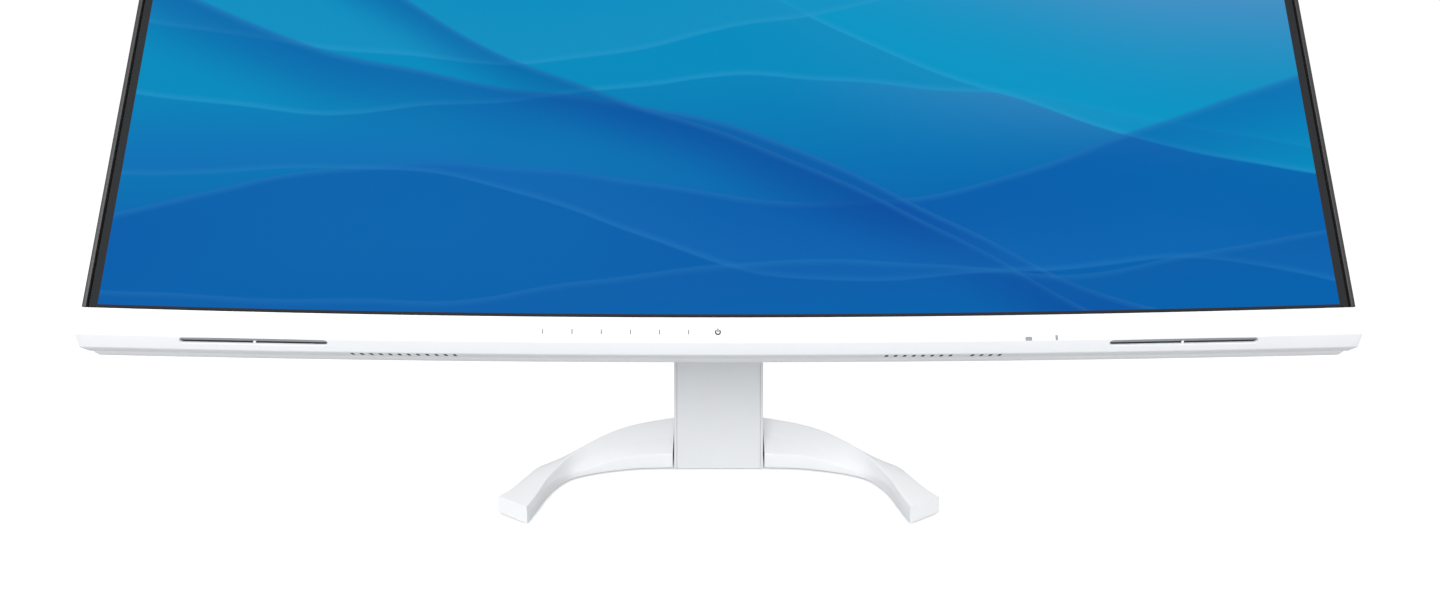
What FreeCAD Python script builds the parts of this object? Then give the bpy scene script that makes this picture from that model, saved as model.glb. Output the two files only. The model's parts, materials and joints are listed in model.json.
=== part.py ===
"""Curved desktop monitor with two built-in speakers, on a lifting, swivelling and tilting stand.

World frame, in millimetres: +Z is up, the screen faces -Y, and X runs along the desk's edge.
The origin is on the desk, at the centre of the column's foot.

Two local frames carry the display's pieces:
  the pivot frame has its origin on the tilt axis, with Y straight back from the screen;
  the arc frame has its origin on the axis of the screen's curvature, at the height of the
  line where the dark screen meets the white chin, so a piece's Y is the screen's radius
  plus its depth behind the screen.
"""
import FreeCAD, Part
import os
import re
import Sketcher

DRIVING = {
    # screen and its arc
    "screen_radius": 2300.0,
    "chin_half": 447.0,
    "frame_inset": 1.5,
    "image_height": 366.5,
    "image_foot": 2.2,
    "image_border": 5.2,
    "frame_strip": 2.7,
    "frame_gap": 1.4,
    "frame_deep": 20.0,
    "lip_wide": 6.0,
    "lip_thick": 3.5,
    "glass_back": 0.8,
    "glass_thick": 2.0,
    "guide_thick": 4.0,
    "tray_thick": 1.2,
    "tray_rim": 8.0,
    "part_gap": 0.3,
    # chin, the lower front bezel
    "chin_face": 18.9,
    "chin_bevel": 8.2,
    "chin_deep": 20.0,
    "chin_drop": 1.0,
    "wall": 2.5,
    # back cover
    "cover_deep": 30.0,
    "cover_drop": 1.6,
    "cover_inset": 8.0,
    "hump_deep": 58.5,
    "hump_half": 230.0,
    "hump_taper": 24.0,
    "hump_top": 262.0,
    "hump_foot": 6.0,
    "recess_half": 58.0,
    "recess_floor": 46.0,
    "hump_root": 14.0,
    "vent_first": -165.5,
    "vent_step": 14.0,
    "vent_wide": 9.0,
    "vent_foot": 226.0,
    "vent_tall": 4.0,
    "bay_left": -205.0,
    "bay_right": -60.0,
    "bay_front": 28.0,
    "bay_deep": 22.0,
    # boards and sockets
    "board_deep": 21.0,
    "board_thick": 1.6,
    "board_near": 75.0,
    "board_far": 205.0,
    "board_rise": 40.0,
    "board_top": 210.0,
    "chip_tall": 12.0,
    "key_middle": 64.0,
    "key_half": 70.0,
    "key_tall": 6.0,
    "socket_deep": 12.0,
    "shell_thick": 0.8,
    "inlet_at": 150.0,
    "inlet_half": 14.0,
    "inlet_tall": 8.0,
    "inlet_deep": 16.0,
    "rocker_at": 112.0,
    "rocker_r": 5.0,
    "rocker_half": 8.0,
    "rocker_wide": 11.0,
    "rocker_lean": 7.0,
    # tilt pivot and how far the display leans back at rest
    "pivot_behind": 68.0,
    "pivot_above": 176.0,
    "pivot_front": 52.0,
    "pivot_height": 315.5,
    "rest_tilt": 19.4,
    "lift_down": 47.5,
    # stand column
    "column_half": 41.0,
    "column_deep": 50.0,
    "column_top": 336.0,
    "column_wall": 2.5,
    "strip_wide": 2.2,
    "panel_thick": 3.0,
    "panel_gap": 0.4,
    "panel_foot": 0.8,
    "slot_half": 14.0,
    "riser_half": 28.0,
    "riser_half_deep": 15.0,
    "riser_wall": 2.5,
    "riser_below": 130.0,
    "riser_above": 68.0,
    "slide_gap": 0.3,
    "slot_spare": 4.0,
    "cap_thick": 2.4,
    "block_top": 24.0,
    "guide_tall": 24.0,
    "gas_r": 8.0,
    "gas_rod_r": 4.0,
    "gas_foot": 12.0,
    "gas_long": 156.0,
    "gas_rod_long": 150.0,
    "rod_hang": 90.0,
    "cross_thick": 5.0,
    # neck, swivel and tilt hinge
    "neck_half": 11.5,
    "neck_top": 24.0,
    "neck_tall": 26.0,
    "barrel_r": 12.5,
    "swivel_pin_r": 6.0,
    "tilt_pin_r": 5.0,
    "pin_fit": 0.05,
    "barrel_rise": 2.0,
    "base_thick": 6.0,
    "clip_thick": 1.0,
    "nut_wide": 4.0,
    "neck_pad": 18.0,
    "knuckle_half": 13.0,
    "knuckle_r": 10.0,
    "ear_thick": 6.0,
    "ear_r": 12.0,
    "washer_thick": 0.8,
    "plate_half": 56.0,
    "plate_thick": 3.0,
    "plate_bolts": 100.0,
    "bolt_r": 2.0,
    # foot
    "foot_half": 179.8,
    "foot_reach": 136.6,
    "foot_clear": 1.4,
    "leg_wide": 1.0,
    "leg_tall": 1.0,
    "shelf_half": 37.9,
    "shelf_back": 62.0,
    "screw_back": 48.0,
    "screw_long": 14.0,
    "screw_head": 1.6,
    "pad_thick": 2.0,
    "pad_r": 9.0,
    "hub_pad_half": 24.0,
    # speakers
    "speaker_at": 331.3,
    "slot_half_long": 50.0,
    "slot_tall": 4.6,
    "slot_down": 3.4,
    "slot_fit": 0.15,
    "slot_rib": 1.6,
    "grille_thick": 0.8,
    "speaker_half": 58.0,
    "speaker_top": 3.4,
    "speaker_tall": 20.0,
    "speaker_front": 8.4,
    "speaker_deep": 18.0,
    "cone_half": 38.0,
    "cone_r": 6.0,
    "cone_thick": 1.0,
    "cone_gap": 0.3,
    "coil_r": 3.0,
    "core_r": 2.4,
    "coil_long": 6.0,
    "basket_half": 8.6,
    "basket_rim": 4.0,
    "basket_thick": 1.2,
    "basket_deep": 5.0,
    "case_wall": 1.5,
    "magnet_r": 6.5,
    "magnet_deep": 7.0,
    # sensor window in the chin
    "sensor_at": 225.0,
    "sensor_half": 2.4,
    "sensor_tall": 2.6,
    "sensor_back": 0.2,
}

doc = FreeCAD.newDocument("curved_monitor")
sheet = doc.addObject("Spreadsheet::Sheet", "Sheet")


def fill_sheet():
    """Write each driving size in its own row and give the cell the size's name."""
    for row, (name, size) in enumerate(DRIVING.items(), start=1):
        sheet.set("A%d" % row, name)
        sheet.set("B%d" % row, str(size))
        sheet.setAlias("B%d" % row, name)
    doc.recompute()


def bound(text):
    """Return an expression with every driving size read from the sheet."""
    def found(match):
        """Put the sheet's name before a driving size."""
        word = match.group(0)
        return "Sheet." + word if word in DRIVING else word
    return re.sub(r"[a-z][a-z_0-9]*", found, text)


PIVOT_Y = "(-column_deep / 2 - pivot_front)"
PIVOT_FRAME = "placement(vector(0; %s; pivot_height); rotation(vector(1; 0; 0); -rest_tilt))" % PIVOT_Y
WORLD = "placement(vector(0; 0; 0); rotation(vector(1; 0; 0); 0))"


def arc_frame(along="0"):
    """Return the arc frame's placement, turned so that its Y points at a place along the arc."""
    return PIVOT_FRAME + " * placement(vector(0; -screen_radius - pivot_behind; -pivot_above);" \
        " rotation(vector(0; 0; 1); -asin((%s) / screen_radius)))" % along


def shift(x, y, z, axis="1; 0; 0", angle="0"):
    """Return a placement that moves to a point after turning about an axis."""
    return "placement(vector(%s; %s; %s); rotation(vector(%s); %s))" % (x, y, z, axis, angle)


def seat(item, frame, label=None):
    """Place an object in a frame, and give it the name of its file."""
    item.setExpression("Placement", bound(frame))
    if label:
        item.Label = label
        NODES.append(item)
    return item


NODES = []
VENTS = 24
CORNERS = [(x, z) for x in ("-", "") for z in ("-", "")]
ALONG_X = ("0; 1; 0", "90")
ALONG_Y = ("1; 0; 0", "-90")
ALONG_Z = ("0; 0; 1", "0")


def block(x, y, z, frame=WORLD, label=None):
    """Make a box from its low and high limits along each axis of a frame."""
    item = doc.addObject("Part::Box", "Block")
    for side, (low, high) in zip(("Length", "Width", "Height"), (x, y, z)):
        item.setExpression(side, bound("(%s) - (%s)" % (high, low)))
    return seat(item, frame + " * " + shift(x[0], y[0], z[0]), label)


def rod(radius, length, start, along=ALONG_Z, frame=WORLD, label=None):
    """Make a cylinder that starts at a point and runs along one axis of a frame."""
    item = doc.addObject("Part::Cylinder", "Rod")
    item.setExpression("Radius", bound(radius))
    item.setExpression("Height", bound(length))
    return seat(item, frame + " * " + shift(*start, axis=along[0], angle=along[1]), label)


def joined(items, frame=WORLD, label=None):
    """Fuse several objects into one solid."""
    item = doc.addObject("Part::MultiFuse", "Joined")
    item.Shapes = items
    return seat(item, frame, label)


def cut(base, tools, frame=WORLD, label=None):
    """Take one or more tools away from a base."""
    item = doc.addObject("Part::Cut", "Cut")
    item.Base = base
    item.Tool = tools[0] if len(tools) == 1 else joined(tools)
    return seat(item, frame, label)


def origin_plane(body, role):
    """Return one of a body's own origin planes."""
    return next(item for item in body.Origin.OriginFeatures if item.Role == role)


def outline(body, role, points, offset=None):
    """Draw a closed outline of straight lines, each corner held by two bound distances."""
    sketch = body.newObject("Sketcher::SketchObject", "Outline")
    sketch.AttachmentSupport = [(origin_plane(body, role), "")]
    sketch.MapMode = "FlatFace"
    if offset:
        sketch.setExpression("AttachmentOffset", bound(offset))
    count = len(points)
    ring = [FreeCAD.Vector(10, 0, 0)]
    for _ in range(count - 1):
        turn = FreeCAD.Rotation(FreeCAD.Vector(0, 0, 1), -360.0 / count)
        ring.append(turn.multVec(ring[-1]))
    for i in range(count):
        sketch.addGeometry(Part.LineSegment(ring[i], ring[(i + 1) % count]), False)
    for i in range(count):
        sketch.addConstraint(Sketcher.Constraint("Coincident", i, 2, (i + 1) % count, 1))
    for i, (across, up) in enumerate(points):
        for kind, text in (("DistanceX", across), ("DistanceY", up)):
            spot = sketch.addConstraint(Sketcher.Constraint(kind, -1, 1, i, 1, 1.0))
            sketch.setExpression("Constraints[%d]" % spot, bound(text))
    return sketch


def new_body(name):
    """Start a body."""
    return doc.addObject("PartDesign::Body", name)


def swept_arc(body, points, span, cuts=False):
    """Turn a profile of depth and height about the arc's axis, through a span centred on the middle."""
    sketch = outline(body, "YZ_Plane", points)
    kind = "PartDesign::Groove" if cuts else "PartDesign::Revolution"
    feature = body.newObject(kind, "Turned")
    feature.Profile = sketch
    feature.ReferenceAxis = (sketch, ["V_Axis"])
    feature.setExpression("Angle", bound(span))
    feature.Midplane = True
    return feature


def arc_span(half):
    """Return the angle that a piece of this half width takes up on the arc."""
    return "2 * asin((%s) / screen_radius)" % half


def ringed(points):
    """Move a profile of depths behind the screen out to the arc's radius."""
    return [("screen_radius + (%s)" % deep, high) for deep, high in points]


# ---------------------------------------------------------------- heights and depths used by several pieces
FRAME_HALF = "(chin_half - frame_inset)"
FRAME_TOP = "(image_foot + image_height + image_border + frame_gap + frame_strip)"
CHIN_FOOT = "(chin_face + chin_bevel + chin_drop)"
COLUMN_FRONT = "(-column_deep / 2)"
HINGE_TOP = "(pivot_height - neck_top)"
ROOM = 60


def side_trims(half):
    """Return two boxes that cut a curved piece off square at this half width."""
    reach = "(%s) + %d" % (half, ROOM)
    deep = ("-3 * pivot_behind", "pivot_behind")
    high = ("-2 * pivot_above", "2 * pivot_above")
    right = block((half, reach), deep, high, PIVOT_FRAME)
    left = block(("-(%s)" % reach, "-(%s)" % half), deep, high, PIVOT_FRAME)
    return [left, right]


def curved_body(name, outer, half, inner=None, inner_half=None):
    """Make a curved body in the arc frame, hollowed by a second profile if one is given."""
    body = new_body(name)
    swept_arc(body, ringed(outer), arc_span(half))
    if inner:
        swept_arc(body, ringed(inner), arc_span(inner_half), cuts=True)
    return seat(body, arc_frame())


def rectangle(deep, high):
    """Return the four corners of a profile from its depth and height limits."""
    return [(deep[0], high[0]), (deep[0], high[1]), (deep[1], high[1]), (deep[1], high[0])]


# ---------------------------------------------------------------- display: front
def speaker_frame(side):
    """Return the frame of one speaker: the arc frame turned to it, on the screen's surface."""
    return arc_frame("(%d) * speaker_at" % side) + " * " + shift("0", "screen_radius", "0")


def slot_frame(side):
    """Return the frame of one speaker's slot: on the bevel, with Z straight out of it."""
    drop = "slot_down * sin(45)"
    return speaker_frame(side) + " * " + shift("0", drop, "-chin_face - " + drop, angle="135")


def stadium(half, radius, low, high, frame):
    """Make a bar with round ends, lying along X."""
    straight = "(%s) - (%s)" % (half, radius)
    bar = block(("-(%s)" % straight, straight), ("-(%s)" % radius, radius), (low, high), frame)
    ends = [rod(radius, "(%s) - (%s)" % (high, low), (sign + "(%s)" % straight, "0", low), frame=frame)
            for sign in ("-", "")]
    return joined([bar] + ends)


def make_chin():
    """Make the white lower bezel: a face, a bevel and a short underside, slotted for the speakers."""
    outer = [("0", "-part_gap"), ("0", "-chin_face"), ("chin_bevel", "-chin_face - chin_bevel"),
             ("chin_deep", "-%s" % CHIN_FOOT), ("chin_deep", "-part_gap")]
    inner = [("wall", "1"), ("wall", "-chin_face + wall * 0.4"),
             ("chin_bevel + wall * 0.4", "-chin_face - chin_bevel + wall"),
             ("chin_deep + 1", "wall - %s" % CHIN_FOOT), ("chin_deep + 1", "1")]
    body = curved_body("Chin", outer, "chin_half + 1", inner, "chin_half - wall")
    slots = [stadium("slot_half_long", "slot_tall / 2", "-wall * 2", "wall",
                     slot_frame(side)) for side in (-1, 1)]
    window = block(("sensor_at - sensor_half", "sensor_at + sensor_half"), ("-wall * 3", "wall * 2"),
                   ("-sensor_tall", "0"), arc_frame() + " * " + shift("0", "screen_radius",
                                                                      "-chin_face + sensor_tall"))
    return cut(body, side_trims("chin_half") + slots + [window], label="chin")


def make_frame():
    """Make the thin dark frame round the screen's sides and top, with a lip behind the screen's layers."""
    outer = rectangle(("0", "frame_deep"), ("0", FRAME_TOP))
    inner = rectangle(("-1", "frame_deep - lip_thick"), ("-1", "%s - frame_strip" % FRAME_TOP))
    body = curved_body("SideFrame", outer, FRAME_HALF + " + 1", inner, FRAME_HALF + " - frame_strip")
    opening = rectangle(("0", "frame_deep + 1"), ("-1", "%s - frame_strip - lip_wide" % FRAME_TOP))
    swept_arc(body, ringed(opening), arc_span(FRAME_HALF + " - frame_strip - lip_wide"), cuts=True)
    return cut(body, side_trims(FRAME_HALF), label="side_frame")


def make_screen():
    """Make the layers behind the frame: the panel, its light guide and the steel tray."""
    inside = FRAME_HALF + " - frame_strip - frame_gap"
    top = FRAME_TOP + " - frame_strip - frame_gap"
    glass = ("glass_back", "glass_back + glass_thick")
    panel = new_body("Panel")
    swept_arc(panel, ringed(rectangle(glass, ("0.2", top))), arc_span(inside))
    seat(panel, arc_frame(), "panel")
    guide = new_body("LightGuide")
    front = "glass_back + glass_thick + part_gap"
    swept_arc(guide, ringed(rectangle((front, front + " + guide_thick"), ("1", top + " - 1"))),
              arc_span(inside + " - 1"))
    seat(guide, arc_frame(), "light_guide")
    tray = new_body("Tray")
    back = front + " + guide_thick + part_gap"
    rim = back + " + tray_rim"
    lip = [(rim, "1"), (back, "1"), (back, top + " - 1"), (rim, top + " - 1"),
           (rim, top + " - 1 - tray_thick"),
           (back + " + tray_thick", top + " - 1 - tray_thick"), (back + " + tray_thick", "1 + tray_thick"),
           (rim, "1 + tray_thick")]
    swept_arc(tray, ringed(lip), arc_span(inside + " - 2"))
    seat(tray, arc_frame(), "tray")


# ---------------------------------------------------------------- display: speakers
def make_speaker(side, name):
    """Make one speaker: its sealed case, basket, moving cone, magnet and the grille in its slot."""
    home = speaker_frame(side) + " * " + shift("0", "0", "-speaker_top - speaker_tall / 2")
    half_tall = "speaker_tall / 2"
    case_low, case_high = "speaker_front", "speaker_front + speaker_deep"
    outer = block(("-speaker_half", "speaker_half"), (case_low, case_high), ("-" + half_tall, half_tall),
                  home)
    room = block(("-speaker_half + case_wall", "speaker_half - case_wall"),
                 (case_low + " + case_wall", case_high + " - case_wall"),
                 ("-%s + case_wall" % half_tall, half_tall + " - case_wall"), home)
    mouth = block(("-cone_half - case_wall", "cone_half + case_wall"),
                  (case_low + " - 1", case_low + " + case_wall + 1"),
                  ("-cone_r - cone_gap - case_wall - part_gap", "cone_r + cone_gap + case_wall + part_gap"),
                  home)
    cut(outer, [room, mouth], label="speaker_case_" + name)

    facing = home + " * " + shift("0", "speaker_front - part_gap", "0", angle="90")
    flange = stadium("cone_half + basket_rim", "basket_half", "0", "basket_thick", facing)
    hole = stadium("cone_half + cone_gap", "cone_r + cone_gap", "-1", "basket_thick + 1", facing)
    bridge_low = "-basket_deep"
    bridge = block(("-magnet_r", "magnet_r"), ("-cone_r - cone_gap - case_wall",
                                               "cone_r + cone_gap + case_wall"),
                   (bridge_low, "0"), facing)
    hollow = block(("-magnet_r - 1", "magnet_r + 1"), ("-cone_r - cone_gap", "cone_r + cone_gap"),
                   (bridge_low + " + basket_thick", "basket_thick"), facing)
    coil_hole = rod("coil_r + cone_gap * 2", "basket_deep + 1", ("0", "0", bridge_low + " - 1"),
                    frame=facing)
    cut(joined([flange, bridge]), [hole, hollow, coil_hole], label="speaker_basket_" + name)

    rest = "-cone_thick / 2"
    face = stadium("cone_half", "cone_r", rest, rest + " + cone_thick", facing)
    coil = rod("coil_r", "coil_long + cone_thick / 2", ("0", "0", rest + " - coil_long"), frame=facing)
    coil_bore = rod("core_r + cone_gap / 2", "coil_long + 1", ("0", "0", rest + " - coil_long - 1"),
                    frame=facing)
    cut(joined([face, coil]), [coil_bore], label="speaker_cone_" + name)

    pot_high = bridge_low + " - part_gap / 2"
    pot = rod("magnet_r", "magnet_deep", ("0", "0", pot_high + " - magnet_deep"), frame=facing)
    ring = rod("coil_r + cone_gap", "magnet_deep - case_wall",
               ("0", "0", pot_high + " - magnet_deep + case_wall"),
               frame=facing)
    core = rod("core_r", "magnet_deep - case_wall / 2",
               ("0", "0", pot_high + " - magnet_deep + case_wall / 2"),
               frame=facing)
    joined([cut(pot, [ring]), core], label="speaker_magnet_" + name)

    spot = slot_frame(side)
    inset = "slot_tall / 2 - slot_fit"
    strip = stadium("slot_half_long - slot_fit", inset, "-wall", "-wall + grille_thick", spot)
    rib = block(("-slot_rib / 2", "slot_rib / 2"), ("-(%s)" % inset, inset),
                ("-wall + grille_thick / 2", "-wall * 0.3"),
                spot)
    joined([strip, rib], label="speaker_grille_" + name)


# ---------------------------------------------------------------- display: back
def behind(deep):
    """Turn a depth behind the middle of the screen into a Y in the pivot frame."""
    return "(%s) - pivot_behind" % deep


def above(high):
    """Turn a height over the chin line into a Z in the pivot frame."""
    return "(%s) - pivot_above" % high


def hump_block(grow):
    """Make the tapered block of the hump, larger or smaller all round by this much."""
    item = doc.addObject("Part::Wedge", "Hump")
    half = "hump_half + %s" % grow
    top = above("hump_top") + " + %s" % grow
    foot = above("hump_foot") + " - %s" % grow
    limits = {"Xmin": "-(%s)" % half, "Xmax": half, "Zmin": foot, "Zmax": top,
              "X2min": "-(%s) + hump_taper" % half, "X2max": half + " - hump_taper",
              "Z2min": foot + " + hump_taper", "Z2max": top + " - hump_taper",
              "Ymin": behind("cover_deep - hump_root"), "Ymax": behind("hump_deep") + " + %s" % grow}
    for side, text in limits.items():
        item.setExpression(side, bound(text))
    return seat(item, WORLD)


def underside(at):
    """Return the place of a fitting in the hump's slanted underside, with Z straight into it."""
    slope = "hump_taper / (hump_deep - cover_deep + hump_root)"
    rise = "hump_foot + %s * (bay_front + bay_deep / 2 - cover_deep + hump_root)" % slope
    return shift(at, behind("bay_front + bay_deep / 2"), above(rise), angle="atan(%s)" % slope)


def make_cover():
    """Make the back cover: a shallow curved tub, a hump over the electronics and a recess for the arm."""
    low = "-%s" % CHIN_FOOT
    front = "chin_deep + part_gap"
    outer = [(front, low), ("cover_deep", low + " - cover_drop"), ("cover_deep", FRAME_TOP),
             (front, FRAME_TOP)]
    inner = [(front + " - 1", low + " + wall"), ("cover_deep - wall", low + " + wall - cover_drop"),
             ("cover_deep - wall", FRAME_TOP + " - wall"), (front + " - 1", FRAME_TOP + " - wall")]
    half = "chin_half - cover_inset"
    tub = curved_body("Cover", outer, half, inner, half + " - wall")
    tub.setExpression("Placement", bound(shift("0", "-screen_radius - pivot_behind", "-pivot_above")))
    hollow = hump_block("-wall")
    shell = cut(hump_block("0"), [hollow])
    open_tub = cut(tub, [hump_block("-wall")])
    floor_low = behind("recess_floor - wall")
    side = "recess_half + wall"
    boss = block(("-(%s)" % side, side), (floor_low, behind("hump_deep - part_gap")), ("-(%s)" % side, side))
    recess = block(("-recess_half", "recess_half"), (behind("recess_floor"), behind("hump_deep + 1")),
                   ("-recess_half", "recess_half"))
    holes = bolt_rods("bolt_r + pin_fit * 2", behind("recess_floor") + " - wall * 2", "wall * 3", WORLD)
    bay = block(("bay_left", "bay_right"), (behind("bay_front"), behind("bay_front + bay_deep")),
                (above("hump_foot") + " - 1", above("hump_foot") + " + wall + hump_taper"))
    inlet = block(("-inlet_half - slide_gap", "inlet_half + slide_gap"),
                  ("-inlet_tall - slide_gap", "inlet_tall + slide_gap"), ("-1", "wall * 2"),
                  underside("inlet_at"))
    rocker = block(("-rocker_wide / 2 - part_gap", "rocker_wide / 2 + part_gap"),
                   ("-rocker_half - 1", "rocker_half + 1"), ("-1", "wall * 2"), underside("rocker_at"))
    skin = joined([open_tub, shell, boss])
    vents = [block(("vent_first + %d * vent_step" % i, "vent_first + %d * vent_step + vent_wide" % i),
                   (behind("hump_deep - wall * 3"), behind("hump_deep + wall")),
                   (above("vent_foot"), above("vent_foot + vent_tall"))) for i in range(VENTS)]
    cut(skin, [recess, bay, inlet, rocker] + holes + vents, PIVOT_FRAME, "rear_cover")


def bolt_rods(radius, start, length, frame):
    """Make four rods along Y at the corners of the arm's bolt square."""
    return [rod(radius, length, (x + "plate_bolts / 2", start, z + "plate_bolts / 2"), ALONG_Y, frame)
            for x, z in CORNERS]


def make_mount():
    """Make the steel plate behind the recess, and the four bolts that hold the arm's plate to it."""
    low = behind("recess_floor - wall - part_gap") + " - plate_thick"
    half = "recess_half - wall"
    plate = block(("-(%s)" % half, half), (low, low + " + plate_thick"), ("-(%s)" % half, half))
    cut(plate, bolt_rods("bolt_r + pin_fit", low + " - 1", "plate_thick + 2", WORLD), PIVOT_FRAME,
        "mount_plate")
    head = behind("recess_floor + plate_thick + pin_fit")
    shanks = bolt_rods("bolt_r", low, "(%s) - (%s)" % (head, low), WORLD)
    heads = bolt_rods("bolt_r * 1.9", head, "bolt_r * 1.2", WORLD)
    joined(shanks + heads, PIVOT_FRAME, "mount_bolts")


def make_boards():
    """Make the boards inside: the main board and power board behind the tray, the key board in the chin."""
    low = behind("board_deep")
    thick = (low, low + " + board_thick")
    for name, left, right in (("main_board", "-board_far", "bay_right"),
                              ("power_board", "board_near", "board_far")):
        base = block((left, right), thick, (above("hump_foot + board_rise"), above("board_top")))
        parts = [block((left + " + %s * (board_far - board_near)" % near,
                        left + " + %s * (board_far - board_near)" % far),
                       (low + " + board_thick / 2", low + " + board_thick + chip_tall * %s" % tall),
                       (above("%s * board_top" % foot), above("%s * board_top" % top)))
                 for near, far, foot, top, tall in ((0.15, 0.4, 0.4, 0.6, 1.0), (0.55, 0.85, 0.5, 0.62, 0.5),
                                                    (0.2, 0.8, 0.72, 0.85, 0.7))]
        ledge_low = above("hump_foot + hump_taper + wall + socket_deep + pin_fit")
        ledge = block((left, right), (low, behind("bay_front + bay_deep")),
                      (ledge_low, ledge_low + " + board_thick"))
        joined([base] + parts + ([ledge] if name == "main_board" else []), PIVOT_FRAME, name)
    keys = arc_frame("-key_middle") + " * " + shift("0", "screen_radius", "-chin_face / 2")
    block(("-key_half", "key_half"), ("wall + part_gap * 3", "wall + part_gap * 3 + board_thick"),
          ("-key_tall", "key_tall"),
          keys, "key_board")
    window = arc_frame() + " * " + shift("0", "screen_radius", "-chin_face")
    block(("sensor_at - sensor_half + slot_fit", "sensor_at + sensor_half - slot_fit"),
          ("-sensor_back", "wall - sensor_back"),
          ("slot_fit", "sensor_tall - slot_fit"), window, "sensor_window")


def make_socket(label, places, half, tall, shell_deep="socket_deep"):
    """Make sockets that face down into the port bay, each a metal shell with a blind mouth."""
    low = above("hump_foot + hump_taper + wall")
    high = low + " + " + shell_deep
    middle = behind("bay_front + bay_deep / 2")
    shells = []
    for place in places:
        outer = block(("%s - %s" % (place, half), "%s + %s" % (place, half)),
                      ("%s - %s" % (middle, tall), "%s + %s" % (middle, tall)), (low, high))
        mouth = block(("%s - %s + shell_thick" % (place, half), "%s + %s - shell_thick" % (place, half)),
                      ("%s - %s + shell_thick" % (middle, tall), "%s + %s - shell_thick" % (middle, tall)),
                      (low + " - 1", high + " - shell_thick * 2"))
        shells.append((outer, [mouth]))
    if len(shells) == 1:
        return cut(shells[0][0], shells[0][1], PIVOT_FRAME, label)
    return joined([cut(outer, mouth) for outer, mouth in shells], PIVOT_FRAME, label)


def make_sockets():
    """Make each kind of socket in the port bay, the mains inlet and its rocker switch."""
    make_socket("display_socket", ["-192"], "8.5", "3")
    make_socket("hdmi_sockets", ["-170", "-150"], "7.6", "2.9")
    make_socket("usb_c_socket", ["-134"], "4.7", "1.9")
    make_socket("usb_sockets", ["-119", "-103.5"], "6.8", "3.3")
    make_socket("lan_socket", ["-86"], "8", "6.8")
    make_socket("audio_socket", ["-70"], "3.6", "3.6")
    frame = PIVOT_FRAME + " * " + underside("inlet_at")
    body = block(("-inlet_half", "inlet_half"), ("-inlet_tall", "inlet_tall"), ("0", "inlet_deep"), frame)
    mouth = block(("-inlet_half + wall", "inlet_half - wall"), ("-inlet_tall + wall", "inlet_tall - wall"),
                  ("-1", "inlet_deep - wall"), frame)
    blades = [block(("%s - shell_thick" % at, "%s + shell_thick" % at), ("-wall", "wall"),
                    ("wall", "inlet_deep - shell_thick"), frame)
              for at in ("-inlet_half / 2", "0", "inlet_half / 2")]
    joined([cut(body, [mouth])] + blades, label="mains_inlet")


def make_rocker():
    """Make the mains rocker switch: a flat bar with a round back, at rest pressed in at one end."""
    frame = PIVOT_FRAME + " * " + underside("rocker_at") + " * " + shift("0", "0", "rocker_r * 0.8",
                                                                         angle="-rocker_lean")
    bar = rod("rocker_r", "rocker_wide", ("-rocker_wide / 2", "0", "0"), ALONG_X, frame)
    face = block(("-rocker_wide / 2", "rocker_wide / 2"), ("-rocker_half", "rocker_half"),
                 ("-rocker_r", "-rocker_r / 3"), frame)
    joined([bar, face], label="rocker_switch")


# ---------------------------------------------------------------- hinge between display and stand
def hinge_frame(rise="0"):
    """Return the upright frame on the tilt axis, raised by this much."""
    return shift("0", PIVOT_Y, "pivot_height + (%s)" % rise)


def make_arm():
    """Make the plate and knuckle that tilt with the display."""
    low = behind("recess_floor + pin_fit")
    plate = block(("-plate_half", "plate_half"), (low, low + " + plate_thick"),
                  ("-plate_half", "plate_half"))
    arm = block(("-knuckle_half", "knuckle_half"), (low + " + plate_thick / 2", "0"),
                ("-knuckle_r", "knuckle_r"))
    barrel = rod("knuckle_r", "knuckle_half * 2", ("-knuckle_half", "0", "0"), ALONG_X)
    bore = rod("tilt_pin_r + pin_fit", "knuckle_half * 2 + 2", ("-knuckle_half - 1", "0", "0"), ALONG_X)
    holes = bolt_rods("bolt_r + pin_fit", low + " - 1", "plate_thick + 2", WORLD)
    cut(joined([plate, arm, barrel]), [bore] + holes, PIVOT_FRAME, "tilt_arm")


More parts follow.
